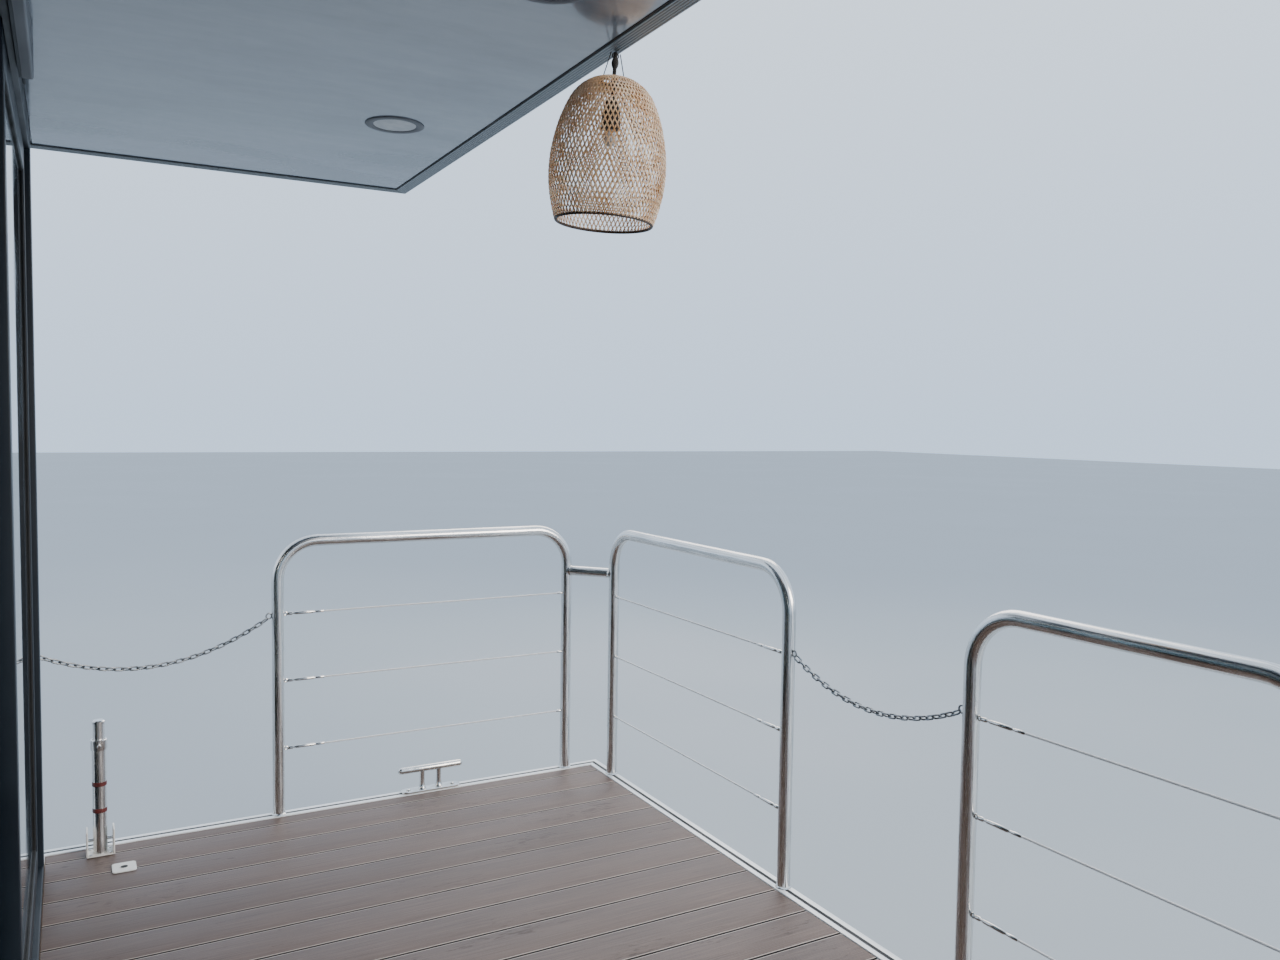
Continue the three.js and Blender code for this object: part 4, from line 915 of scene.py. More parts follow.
def makeLeaf(side, kind):
    low, high = cadSpan(f"front_{kind}_leaf_{side}")
    bottom = low[2] + (front["clearance"] if kind == "sliding" else 0)
    outer = (low[1], high[1], bottom, high[2])
    inner, seals = glazing(f"front_{kind}_pane_{side}", front["sealSkin"])
    bars = [frameBars(inner, outer, low[0], high[0], "yzx", front["edge"], 3)]
    fittings = []
    if kind == "sliding":
        inset, start, length = front["shoeInset"], front["shoeFrom"], front["shoe"]
        for y in (low[1] + start, high[1] - start - length):
            seals.append(softBox((low[0] + inset, y, low[2]), (high[0] - inset, y + length, bottom + 0.001), 0.002))
        pullY, pullZ = front["pull"]
        stile = (low[1] + inner[0]) / 2 if side == "port" else (high[1] + inner[1]) / 2
        plate = softRectangle(stile - pullY, stile + pullY, front["pullZ"] - pullZ, front["pullZ"] + pullZ,
                              pullY * 0.98, 6)
        fittings.append(slab(plate, high[0] - 0.001, high[0] + front["pullSkin"], "yzx", 0.001))
        fittings.append(slab(plate, low[0] - front["pullSkin"], low[0] + 0.001, "yzx", 0.001))
    body = f"front_leaf_{side}" if kind == "sliding" else "boat"
    name = f"{kind}Leaf{side.capitalize()}"
    groups = [(coat, bars), (rubber, seals)] + ([(casting, fittings)] if fittings else [])
    makePiece(name, body, groups, [f"front_{kind}_leaf_{side}"])


def makeFrontFrame():
    low, high = cadSpan("front_frame")
    opening = front["opening"]
    outer = (low[1], high[1], low[2], high[2])
    bars = [frameBars(opening, outer, low[0], high[0], "yzx", 0.004, 3)]
    lips = [
        softBox((x0, opening[0] + 0.002, opening[2] - 0.001),
                (x1, opening[1] - 0.002, opening[2] + front["lip"]), 0.0012)
        for x0, x1 in front["lips"]
    ]
    makePiece("frontFrame", "boat", [(coat, bars), (edgeMetal, lips)], ["front_frame"])


makeFrontFrame()
for side in ("port", "starboard"):
    for kind in ("fixed", "sliding"):
        makeLeaf(side, kind)

# Aft door
aftDoor = {
    "y0": -1.35, "y1": -0.45, "z0": 1.017, "z1": 3.057, "gap": 0.008, "x0": -3.779, "x1": -3.734,
    "hinge": (-3.792, -1.3555), "barrel": 0.011, "heights": (1.305, 2.765), "barrelHalf": 0.0196,
    "leafInset": 0.0016, "leafEnd": 0.045, "sealSkin": 0.006, "handle": (-0.535, 2.0375), "lever": 0.115,
    "stand": (0.036, 0.03), "bend": 0.012, "grip": 0.0085,
    "roses": ((0, 0.026, 0.023), (0.1, 0.024, 0.02)),  # distance below the handle, radius at foot and at rim
}


def makeAftDoor():
    d = aftDoor
    inner, seals = glazing("aft_door_pane", d["sealSkin"])
    outer = (d["y0"] + d["gap"], d["y1"] - d["gap"], d["z0"], d["z1"])
    leafParts = [frameBars(inner, outer, d["x0"], d["x1"], "yzx", 0.003, 3)]
    for x0, x1 in ((d["x0"] - 0.0015, d["x0"] + 0.001), (d["x1"] - 0.001, d["x1"] + 0.002)):
        panel = (inner[0] + 0.02, inner[1] - 0.02, outer[2] + 0.12, inner[2] - 0.12)
        leafParts.append(frameBars(grown(panel, -0.012), panel, x0, x1, "yzx", 0.0008))
    # a lever on each face: out of its rose, through a quarter circle and along the leaf
    y, z = d["handle"]
    bend, turn = d["bend"], np.linspace(0, pi / 2, 7)
    fittings = []
    for face, out, reach in ((d["x0"], -1, d["stand"][0]), (d["x1"], 1, d["stand"][1])):
        x = face + out * (reach - bend + bend * np.sin(turn))
        curve = spread(x, y - bend * (1 - np.cos(turn)), z)
        path = np.concatenate([[(face, y, z)], curve, [(face + out * reach, y - d["lever"], z)]])
        fittings.append(sweep(path, ringSection(d["grip"], 14), (0, 0, 1)))
        for below, foot, rim in d["roses"]:
            profile = [(foot, 0), (foot, 0.006), (rim, 0.009)]
            fittings.append(turned((face, y, z - below), (out, 0, 0), profile, 24))
    # hinges: a barrel, a strap from it to the leaf and a plate on the leaf
    hingeX, hingeY = d["hinge"]
    face, strapEnd = d["x0"], d["y0"] + d["leafEnd"]
    for middle in d["heights"]:
        bottom, top = middle - d["barrelHalf"], middle + d["barrelHalf"]
        fittings.append(bar((hingeX, hingeY, bottom), (hingeX, hingeY, top), d["barrel"], 20, 0.0015))
        bottom, top = bottom + d["leafInset"], top - d["leafInset"]
        fittings.append(softBox((hingeX - 0.004, hingeY, bottom), (face - 0.002, strapEnd, top)))
        fittings.append(softBox((face - 0.004, d["y0"] + 0.014, bottom), (face + 0.002, strapEnd, top)))
    groups = [(coat, leafParts), (rubber, seals), (casting, fittings)]
    makePiece("aftDoorLeaf", "aft_door", groups, ["aft_door"])


casing = {"skin": 0.008, "width": 0.05, "below": 0.06, "aftTop": 3.065, "doorway": (0.5, 1.35), "doorTop": 3.055}


def makeDoorCasings():
    # casings round the aft door and on both sides of the partition's doorway
    skin, foot, wallFace = casing["skin"], cabin["floor"] - casing["below"], cabin["aft"] + cabin["wall"]
    aftHole = (aftDoor["y0"], aftDoor["y1"], foot, casing["aftTop"])
    doorway = (*casing["doorway"], foot, casing["doorTop"])
    low, high = cadSpan("cabin_partition")
    parts = [
        frameBars(hole, grown(hole, casing["width"]), x0, x1, "yzx", 0.002) for hole, x0, x1 in (
            (aftHole, wallFace - 0.001, wallFace + skin),
            (doorway, low[0] - skin, low[0] + 0.001),
            (doorway, high[0] - 0.001, high[0] + skin))
    ]
    makePiece("doorCasings", "boat", [(melamine, parts)])


makeAftDoor()
makeDoorCasings()

# Kitchen counter with a sink, drawers and doors
kitchen = {
    "depth": 0.58, "top": 0.04, "plinth": 0.1, "plinthBack": 0.05, "units": 3, "gap": 0.003, "front": 0.018,
    "overhang": 0.02, "sink": (0.36, 0.3), "sinkY": 0.27, "sinkDepth": 0.16, "tapHeight": 0.3, "tapReach": 0.17,
    "tap": 0.011,
}


def makeKitchen():
    k = kitchen
    low, high = cadSpan("kitchen_counter")
    x0, x1, y0, y1 = low[0], high[0] - k["overhang"], low[1], low[1] + k["depth"]
    topZ, bottomZ = high[2], high[2] - k["top"]
    middleX, middleY = (x0 + x1) / 2, y0 + k["sinkY"]
    sink = (middleX - k["sink"][0] / 2, middleX + k["sink"][0] / 2, middleY - k["sink"][1] / 2,
            middleY + k["sink"][1] / 2)
    carcass = [
        frameBars(grown(sink, 0.02), (x0, x1, y0, y1 - k["front"] - 0.002), low[2] + k["plinth"], bottomZ,
                  radius=0.001),
        softBox((x0, y0, low[2]), (x1, y1 - k["plinthBack"], low[2] + k["plinth"] + 0.001)),
    ]
    fronts, pulls = [], []
    unit = (x1 - x0) / k["units"]
    rows = [(low[2] + k["plinth"], bottomZ - 0.2), (bottomZ - 0.2, bottomZ)]
    for column in range(k["units"]):
        for zLow, zHigh in rows:
            a, b = x0 + column * unit + k["gap"], x0 + (column + 1) * unit - k["gap"]
            fronts.append(softBox((a, y1 - k["front"], zLow + k["gap"]), (b, y1, zHigh - k["gap"]), 0.0015))
            pulls.append(softBox(((a + b) / 2 - 0.08, y1, zHigh - 0.03),
                                 ((a + b) / 2 + 0.08, y1 + 0.014, zHigh - 0.02), 0.003))
    worktop = [frameBars(sink, (low[0], high[0], low[1], high[1]), bottomZ, topZ, radius=0.003)]
    basinLow = topZ - k["sinkDepth"]
    steel = [
        frameBars(grown(sink, -0.002), grown(sink, 0.018), topZ - 0.001, topZ + 0.0025, radius=0.001),
        frameBars(grown(sink, -0.003), grown(sink, -0.0002), basinLow, topZ + 0.001, radius=0.0008),
        softBox((sink[0], sink[2], basinLow - 0.002), (sink[1], sink[3], basinLow + 0.001), 0.0008),
        turned((middleX, middleY, basinLow), (0, 0, 1), [(0.03, 0), (0.028, 0.003), (0.012, 0.002)], 20),
    ]
    reach, rise = k["tapReach"] / 2, k["tapHeight"] - k["tapReach"] / 2
    turn = np.linspace(0, pi, 15)
    tapY = sink[2] - 0.05
    arch = np.stack([np.full(15, middleX), tapY + reach * (1 - np.cos(turn)), topZ + rise + reach * np.sin(turn)], -1)
    path = np.concatenate([[(middleX, tapY, topZ)], arch, [arch[-1] - (0, 0, 0.04)]])
    steel.append(sweep(path, ringSection(k["tap"], 16), (1, 0, 0)))
    steel.append(turned((middleX, tapY, topZ), (0, 0, 1),
                        [(0.026, 0), (0.024, 0.006), (0.016, 0.05), (0.011, 0.055)]))
    makePiece("kitchenCounter", "boat", [
        (melamine, carcass + fronts), (compact, worktop), (casting, steel), (tubeSteel, pulls)], ["kitchen_counter"])


makeKitchen()
print("cabin made")

# Roof: edge profile, sheet seams, soffit with its lamps, light box, hatch and solar panels
roof = {
    "width": 0.046, "gap": 0.0003, "ribs": 5, "ribPitch": 0.008, "ribDepth": 0.0016, "seal": 0.005,
    "butt": 4.935, "seams": (-3.7, -1.0, 0.75, 2.65, 4.6), "seam": 0.05, "seamSkin": 0.0015,
}


def roofEdge():
    low, high = cadSpan("roof_edge_lip")
    width, bottom, top, pitch = roof["width"], low[2], high[2], roof["ribPitch"]
    start = (width - roof["ribs"] * pitch) / 2 + pitch / 4
    ribs = [(start + i * pitch + d * pitch / 2, bottom + z) for i in range(roof["ribs"])
            for d, z in ((0, 0), (0.25, roof["ribDepth"]), (0.75, roof["ribDepth"]), (1, 0))]
    section = eased([
        (roof["gap"], bottom), *ribs, (width, bottom), (width, bottom + 0.03), (width - 0.002, bottom + 0.032),
        (width - 0.002, top - 0.022), (width, top - 0.02), (width, top), (roof["gap"], top)], 0.0012, 1) / (width, 1)
    outer = (low[0], high[0], low[1], high[1])
    inner = grown(outer, -width)
    body = frameAround(section, inner, outer)
    # a black rubber strip along the lip's inner edge stands in for the shadow gap between lip and soffit: painted
    # shade
    seal = frameBars(grown(inner, -roof["seal"]), inner, bottom + 0.0022, bottom + 0.0062, radius=0.0008)
    x = roof["butt"]
    joints = [softBox((x, sign * (high[1] - width), bottom - 0.0003),
                      (x + 0.0014, sign * (high[1] - 0.0001), top - 0.001), 0.0002)
              for sign in (-1, 1)]
    makePiece("roofEdge", "boat", [(roofMetal, [body]), (rubber, [seal, *joints])],
              ["roof_edge_lip"])
    side = inner[3] - 0.01
    seams = [softBox((x - roof["seam"] / 2, -side, solar["roof"] - 0.001),
                     (x + roof["seam"] / 2, side, solar["roof"] + roof["seamSkin"]), 0.0008)
             for x in roof["seams"]]
    makePiece("roofSeams", "boat", [(membrane, seams)])


soffit = {"bottom": 3.312, "lampX": 5.317, "lampY": (0.557, 1.672), "lamp": 0.085, "lens": 0.062}


def makeSoffit():
    low, high = cadSpan("bow_soffit")
    panel = softBox((low[0], low[1], soffit["bottom"]), high, 0.0015)
    rings, lenses = [], []
    for y in (*soffit["lampY"], *np.negative(soffit["lampY"])):
        place = (soffit["lampX"], y, soffit["bottom"])
        r, inner = soffit["lamp"], soffit["lens"]
        rings.append(turned(place, (0, 0, -1), [(r, 0), (r - 0.001, 0.0025), (r - 0.005, 0.004),
                                                (inner + 0.003, 0.0036), (inner, 0.002), (inner - 0.002, 0)], 48))
        lenses.append(turned(place, (0, 0, -1), [(inner, 0), (inner - 0.001, 0.0016), (0.7 * inner, 0.0024),
                                                 (0.3 * inner, 0.003), (0.001, 0.0031)], 40))
    makePiece("terraceSoffit", "boat",
              [(ceilingGloss, [panel]), (cassetteCoat, rings), (lens, lenses)], ["bow_soffit"])


cassette = {"round": 0.006, "half": 1.48, "rail": (0.007, 0.014), "gap": 0.0004}


def makeCassette():
    # the box hangs on a slim dark rail that runs on over the whole width of the leaves
    low, high = cadSpan("door_cassette")
    x0, x1, z0, z1 = low[0], high[0], low[2], high[2]
    depth, tall = cassette["rail"]
    rail = softBox((x0, low[1], z1 - tall), (x0 + depth, high[1], z1), 0.001)
    radius = cassette["round"]
    turn = np.linspace(0, pi / 2, 9)
    nose = np.stack([x1 - radius + radius * np.cos(turn), z0 + radius - radius * np.sin(turn)], -1)
    back = x0 + depth + cassette["gap"]
    outline = np.concatenate([[(x1, z1)], nose, [(back, z0), (back, z1)]])
    body = slab(outline, -cassette["half"], cassette["half"], "xzy", 0.0012)
    backing = softBox((x0, -cassette["half"], z0 + 0.001), (back, cassette["half"], z1 - tall), 0.001)
    makePiece("lightBox", "boat", [(cassetteCoat, [body]), (coat, [rail, backing])],
              ["door_cassette"])


hatch = {
    "rect": (-2.67, -1.83, -0.42, 0.42), "low": 3.515, "frame": 0.04, "bar": 0.062, "domeTop": 3.58,
    "axis": (-2.686, 3.524), "barrel": 0.01, "barrelHalf": 0.1495, "strapHalf": 0.14,
}


def makeHatch():
    h = hatch
    inner = grown(h["rect"], -h["bar"])
    frameTop = h["low"] + h["frame"]
    parts = [frameBars(inner, h["rect"], h["low"], frameTop, radius=0.007, steps=4)]
    # the dome's rings shrink towards its middle while it rises as one minus the fourth power of their size
    ring = softRectangle(*grown(inner, 0.002), 0.05, 6)
    middle = ring.mean(0)
    size = np.array([1, 1, 0.985, 0.95, 0.88, 0.76, 0.6, 0.4, 0.2, 0.01])
    height = np.concatenate([[h["low"] + 0.012],
                             frameTop - 0.004 + (h["domeTop"] - frameTop + 0.004) * (1 - size[1:] ** 4)])
    plan = middle + size[:, None, None] * (ring - middle)
    dome = gridPart(spread(plan[..., 0], plan[..., 1], height[:, None]), wrapV=True)
    x, z = h["axis"]
    hinge = [
        bar((x, -h["barrelHalf"], z), (x, h["barrelHalf"], z), h["barrel"], 18, 0.001),
        softBox((x, -h["strapHalf"], z - 0.006), (h["rect"][0] + 0.02, h["strapHalf"], z + 0.008), 0.002),
    ]
    seal = frameBars(grown(inner, 0.008), grown(inner, 0.024), h["low"] - 0.003, h["low"] + 0.001, radius=0.001)
    makePiece("hatchLid", "roof_hatch",
              [(coat, parts), (acrylic, [dome]), (casting, hinge), (rubber, [seal])], ["roof_hatch_lid"])


def upright(x, y, half, low, high, radius):
    # a soft box about an upright line, half being its half widths in x and y
    return softBox((x - half[0], y - half[1], low), (x + half[0], y + half[1], high), radius)


def makeSolar():
    s = solar
    frames, glasses, metals = [], [], []
    for i in range(s["count"]):
        x0 = s["start"] + i * s["pitch"]
        rect = (x0, x0 + s["width"], -s["halfLength"], s["halfLength"])
        frames.append(frameBars(grown(rect, -s["edge"]), rect, s["bottom"], s["top"], radius=0.0015))
        inner = grown(rect, -s["edge"] + 0.0005)
        glasses.append(softBox((inner[0], inner[2], s["bottom"] + 0.003),
                               (inner[1], inner[3], s["top"] - 0.0025), 0.0005))
    for y in (-s["barY"], s["barY"]):
        (x0, x1), half = s["barSpan"], s["barHalf"]
        metals.append(softBox((x0, y - half, s["barBottom"]), (x1, y + half, s["bottom"]), 0.002))
        for step in (0, 1.5, 3):
            x, plateTop = s["start"] + (step + 0.5) * s["pitch"], s["roof"] + s["footSkin"]
            metals.append(upright(x, y, s["foot"], s["roof"], plateTop, 0.0015))
            metals.append(upright(x, y, s["leg"], s["roof"], s["barBottom"] + 0.005, 0.0015))
            metals += [bolt((x + dx, y + dy, plateTop), (0, 0, 1)) for dx in (-0.033, 0.033)
                       for dy in (-0.032, 0.032)]
        for i in range(s["count"] + 1):
            x = s["start"] + i * s["pitch"] - (s["pitch"] - s["width"]) / 2
            metals.append(upright(x, y, s["clamp"], s["top"] - 0.001, s["top"] + 0.002, 0.001))
            metals.append(upright(x, y, s["stem"], s["bottom"] - 0.001, s["top"], 0.001))
    makePiece("solarPanels", "boat", [(blackFrame, frames), (cellGlass, glasses), (edgeMetal, metals)],
              ["solar_array"])


roofEdge()
makeSoffit()
makeCassette()
makeHatch()
makeSolar()
print("roof made")

# Rails: bays of bent tube with three wires each, and a tensioner on every wire
rail = {
    "top": 2.005, "radius": 0.0212, "bend": 0.14, "foot": 1.0083, "wires": (1.248, 1.497, 1.742),
    "linkZ": 1.835, "link": 0.02, "sideY": 2.477, "bowX": 6.40, "sternX": -5.56,
}
# tensioner, from the post: eye, fork, body, thread and swage, as [radius, distance]
tensioner = [
    (0.0045, 0.010), (0.0062, 0.013), (0.0062, 0.028), (0.0034, 0.031), (0.0034, 0.036), (0.0056, 0.040),
    (0.0056, 0.102), (0.0036, 0.106), (0.0036, 0.112), (0.0047, 0.114), (0.0047, 0.140), (0.0031, 0.143),
]
plainEnd = [(0.0049, 0), (0.0049, 0.016), (0.0031, 0.021)]


def railBay(start, end, tightAt, between=()):
    # one bay between two feet in plan: the tube rises, turns through two quarter circles and comes down again
    tubes, wires, fittings = [], [], []
    foot, radius, bend = rail["foot"], rail["radius"], rail["bend"]
    start, end = np.array([*start, 0.0]), np.array([*end, 0.0])
    length = np.linalg.norm(end - start)
    along = (end - start) / length
    turn = np.linspace(0, pi / 2, 11)
    runIn, rise = bend * (1 - np.cos(turn)), rail["top"] - bend + bend * np.sin(turn)
    run = np.concatenate([[0], runIn, (length - runIn)[::-1], [length]])
    height = np.concatenate([[foot], rise, rise[::-1], [foot]])
    up = np.array([0, 0, 1.0])
    path = start + run[:, None] * along + height[:, None] * up
    tubes.append(sweep(path, ringSection(radius, 28), np.cross(along, up)))
    posts = [start, end] + [start + distance * along for distance in between]
    for post in posts[2:]:
        tubes.append(bar(post + foot * up, post + rail["top"] * up, radius, 28))
    weld = [(radius + 0.0045, 0), (radius + 0.004, 0.002), (radius + 0.001, 0.0045), (radius - 0.001, 0.0055)]
    # beads round the feet, ground flush with the rails' outer faces
    lowest = (rail["sternX"] - radius, -rail["sideY"] - radius, 0)
    highest = (rail["bowX"] + radius, rail["sideY"] + radius, rail["top"])
    beads = [turned(post + foot * up, up, weld, 28) for post in posts]
    fittings += [{**bead, "points": bead["points"].clip(lowest, highest)} for bead in beads]
    for level in rail["wires"]:
        first, last = start + radius * along + level * up, end - radius * along + level * up
        tight, plain, way = (first, last, along) if tightAt == "start" else (last, first, -along)
        fittings.append(turned(tight, way, tensioner, 12))
        fittings.append(hoop(tight + 0.006 * way, np.cross(way, up), 0.0055, 0.0022, 16, 8))
        fittings.append(turned(plain, -way, plainEnd, 12))
        wires.append(bar(tight + 0.14 * way, plain - 0.01 * way, wireRadius, 12))  # ends inside both end fittings
    return tubes, wires, fittings


def makeRail(name, node, bays, link=None, mirror=False):
    tubes, wires, fittings = [], [], []
    for bay in bays:
        for total, more in zip((tubes, wires, fittings), railBay(*bay)):
            total += more
    if link:
        ends = [np.array([*place, rail["linkZ"]]) for place in link]
        tubes.append(bar(*ends, rail["link"], 20))
        way = (ends[1] - ends[0]) / np.linalg.norm(ends[1] - ends[0])
        weld = [(rail["link"] + out, rail["radius"] + along)
                for out, along in ((0.0022, -0.006), (0.0018, 0), (0, 0.003))]
        fittings += [turned(ends[0], way, weld), turned(ends[1], -way, weld)]
    groups = [(tubeSteel, tubes), (wireSteel, wires), (casting, fittings)]
    if mirror:
        groups = [(material, mirrored(parts)) for material, parts in groups]
    makePiece(name, "boat", groups, [node])


sideY, bowX, sternX = rail["sideY"], rail["bowX"], rail["sternX"]
bowBays = [((5.117, sideY), (6.262, sideY), "start"), ((bowX, 2.315), (bowX, 1.153), "end")]
bowLink = [(6.262, sideY), (bowX, 2.315)]
sternLink = [(-5.422, sideY), (sternX, 2.315)]
sternSide = ((-3.90, sideY), (-5.422, sideY), "start", (0.761,))
makeRail("bowRailPort", "bow_rail_port", bowBays, bowLink)
makeRail("bowRailStarboard", "bow_rail_starboard", bowBays, bowLink, mirror=True)
makeRail("bowRailCentre", "bow_rail_centre", [((bowX, 0.418), (bowX, -0.418), "start")])
makeRail("sternRailPort", "stern_rail_port", [sternSide, ((sternX, 2.315), (sternX, 1.153), "end")], sternLink)
makeRail("sternRailStarboard", "stern_rail_starboard", [
    sternSide, ((sternX, 2.315), (sternX, -0.418), "end", (0.911, 1.822))], sternLink, mirror=True)
print("rails made")

# Gate chains: oval links, each turned a quarter against the last, along a sagging line
link = {"length": 0.034, "width": 0.0175, "wire": 0.0052, "eye": 0.0095, "eyeWire": 0.0026}


def ovalLink():
    half, radius = (link["length"] - link["width"]) / 2, (link["width"] - link["wire"]) / 2
    turn = np.linspace(-pi / 2, pi / 2, 7)
    right = np.stack([half + radius * np.cos(turn), radius * np.sin(turn), 0 * turn], -1)
    return sweep(np.concatenate([right, -right]), ringSection(link["wire"] / 2, 8), (0, 0, 1), closed=True)


def chainParts(start, end, sag):
    start, end = np.asarray(start, float), np.asarray(end, float)
    t = np.linspace(0, 1, 400)[:, None]
    line = start + t * (end - start) - (0, 0, 4 * sag) * t * (1 - t)
    run = np.concatenate([[0], np.cumsum(np.linalg.norm(np.diff(line, axis=0), axis=1))])
    eyeRoom = 2 * link["eye"]
    usable = run[-1] - 2 * eyeRoom
    count = round(usable / (link["length"] - 2 * link["wire"]))
    pitch = usable / count
    places = eyeRoom + (np.arange(count) + 0.5) * pitch
    nearby = 0.01  # a link lies along the line through the points this far before and after its middle
    back, centre, ahead = (
        np.stack([np.interp(places + shift, run, line[:, k]) for k in range(3)], -1)
        for shift in (-nearby, 0, nearby))
    along = (ahead - back) / np.linalg.norm(ahead - back, axis=1, keepdims=True)
    oval = ovalLink()
    parts = []
    for i in range(count):
        level = np.cross((0, 0, 1), along[i])
        level /= np.linalg.norm(level)
        upward = np.cross(along[i], level)
        lean = math.radians(45 + 90 * (i % 2))
        flat = math.cos(lean) * level + math.sin(lean) * upward
        parts.append(moved(oval, centre[i], np.stack([along[i], flat, np.cross(along[i], flat)], -1)))
    way = (end - start) / np.linalg.norm(end - start)
    edgeOn = np.cross(way, (0, 0, 1))
    for place, inward in ((start, way), (end, -way)):
        parts.append(hoop(place + link["eye"] * inward, edgeOn, link["eye"], link["eyeWire"], 20, 8))
    return parts


chainLevel = 1.75
frontChain = chainParts((bowX, 1.1325, chainLevel), (bowX, 0.4385, chainLevel), 0.088)
sideChain = chainParts((5.0955, sideY, 1.738), (4.2493, 2.403, 1.745), 0.14)
for name, parts, node in (("frontChain", frontChain, "gate_chain_bow"), ("sideChain", sideChain, "gate_chain_side")):
    makePiece(name + "Port", "boat", [(chainSteel, parts)], [node + "_port"])
    makePiece(name + "Starboard", "boat", [(chainSteel, mirrored(parts))], [node + "_starboard"])

# Cleats
cleat = {
    "foot": 1.0083, "plate": (0.1175, 0.0245, 0.008), "spread": 0.033, "barZ": 1.095, "bar": 0.013, "half": 0.1285,
    "boltAt": 0.088,
}


def cleatParts(x, y):
    halfX, halfY, thick = cleat["plate"]
    foot = cleat["foot"]
    plate = slab(softRectangle(x - halfX, x + halfX, y - halfY, y + halfY, halfY * 0.98, 8), foot, foot + thick,
                 chamfer=0.002)
    rise = cleat["barZ"] - foot - thick + 0.002
    flare = [(0.0195, 0), (0.0165, 0.002), (0.0125, 0.008), (0.0102, 0.018), (0.0093, 0.03), (0.0093, rise - 0.016),
             (0.0105, rise - 0.01), (0.0105, rise)]
    r, half = cleat["bar"], cleat["half"]
    bead = r * np.sin(np.linspace(0.15, pi / 2, 6))
    cap = r * (1 - np.cos(np.linspace(0.15, pi / 2, 6)))
    profile = np.concatenate([np.stack([bead, cap], -1), np.stack([bead, 2 * half - cap], -1)[::-1]])
    return [
        plate,
        *[turned((x + sign * cleat["spread"], y, foot + thick - 0.002), (0, 0, 1), flare, 24) for sign in (-1, 1)],
        turned((x - half, y, cleat["barZ"]), (1, 0, 0), profile, 24),
        *[bolt((x + sign * cleat["boltAt"], y, foot + thick), (0, 0, 1), 0.0085, 0.005) for sign in (-1, 1)],
    ]


for end, x in (("bow", 5.684), ("stern", -4.844)):
    for side, y in (("port", 2.475), ("starboard", -2.475)):
        makePiece(f"{end}Cleat{side.capitalize()}", "boat", [(casting, cleatParts(x, y))],
                  [f"cleat_{end}_{side}"])

# Telescopic post, and the flush plate on the deck beside it
post = {
    "place": (4.539, 2.395, 1.0053), "outer": 0.0212, "inner": 0.0185, "height": 0.385, "collar": 0.025,
    "collarHeight": 0.036, "bands": (0.142, 0.23), "band": 0.014, "bandSkin": 0.0006, "bandEdge": 0.0008,
    "tube": 0.0175, "cap": 0.0195, "capTop": 0.447,
}
postBracket = {"half": 0.042, "back": 0.030, "front": 0.034, "skin": 0.006, "height": 0.085}
flushPlate = {"place": (4.602, 2.239, 1.0052), "half": (0.035, 0.0375), "corner": 0.01, "skin": 0.004, "hole": 0.011}


def makePost():
    p = post
    place, up = np.array(p["place"]), (0, 0, 1)
    top, low = p["height"], p["height"] - p["collarHeight"]
    socket = turned(place, up, [
        (p["outer"], 0), (p["outer"], low), (p["collar"] - 0.001, low + 0.001), (p["collar"], low + 0.003),
        (p["collar"], top - 0.002), (p["collar"] - 0.002, top), (p["inner"] + 0.001, top), (p["inner"], top - 0.002),
        (p["inner"], 0.012)], 32)
    bandRadius, bandEdge = p["outer"] + p["bandSkin"], p["bandEdge"]
    band = [(p["outer"], 0), (bandRadius, bandEdge), (bandRadius, p["band"] - bandEdge), (p["outer"], p["band"])]
    bands = [turned(place + (0, 0, z), up, band, 32) for z in p["bands"]]
    b = postBracket
    bracket = [softBox(place + (-b["half"], -b["back"], 0), place + (b["half"], b["front"], b["skin"]), 0.003, 3)]
    for sign in (-1, 1):
        outside = place + (sign * b["half"], -b["back"], 0)
        bracket.append(softBox(outside, place + (sign * (b["half"] - b["skin"]), b["front"], b["height"]), 0.0025, 3))
    bolts = [bar(place + (sign * 0.0185, 0, 0.05), place + (sign * 0.0365, 0, 0.05), 0.0055, 14) for sign in (-1, 1)]
    bolts += [bolt(place + (x, y, 0.006), up, 0.005, 0.003) for x in (-0.029, 0.029) for y in (-0.022, 0.026)]
    bolts.append(turned(place + (0, -p["collar"], low + 0.018), (0, -1, 0),
                        [(0.006, -0.004), (0.006, 0.01), (0.005, 0.012)], 14))
    makePiece("postSocket", "boat",
              [(tubeSteel, [socket]), (tape, bands), (plastic, bracket), (casting, bolts)], ["post_socket"])
    capLow = p["capTop"] - 0.012
    inner = turned(place, up,
                   [(p["tube"], 0.0123), (p["tube"], capLow), (p["cap"], capLow + 0.001),
                    (p["cap"], p["capTop"] - 0.003), (p["cap"] - 0.003, p["capTop"]), (0.006, p["capTop"])], 32)
    makePiece("postTube", "post", [(tubeSteel, [inner])], ["post_tube"])


def makeFlushPlate():
    f = flushPlate
    (x, y, z), (halfX, halfY) = f["place"], f["half"]
    plate = slab(softRectangle(x - halfX, x + halfX, y - halfY, y + halfY, f["corner"], 5), z, z + f["skin"],
                 chamfer=0.0012)
    rim = hoop((x, y, z + f["skin"]), (0, 0, 1), f["hole"] + 0.0012, 0.0012, 28, 8)
    # a thin black disc on the plate stands in for the dark inside of the finger hole: painted shade
    hole = turned((x, y, z + f["skin"]), (0, 0, 1), [(f["hole"], 0.0001), (f["hole"], 0.0004)], 24)
    makePiece("flushPlate", "boat", [(plastic, [plate, rim]), (rubber, [hole])])


makePost()
makeFlushPlate()
print("fittings made")

# Boarding ladder and its brackets
ladder = {
    "x": -5.615, "z": 1.06, "y": (0.6005, 0.9705), "radius": 0.014, "reach": 0.85, "bend": 0.06,
    "rungs": (0.2, 0.42, 0.64), "tread": (0.009, 0.022), "pivotOut": 0.028,
}


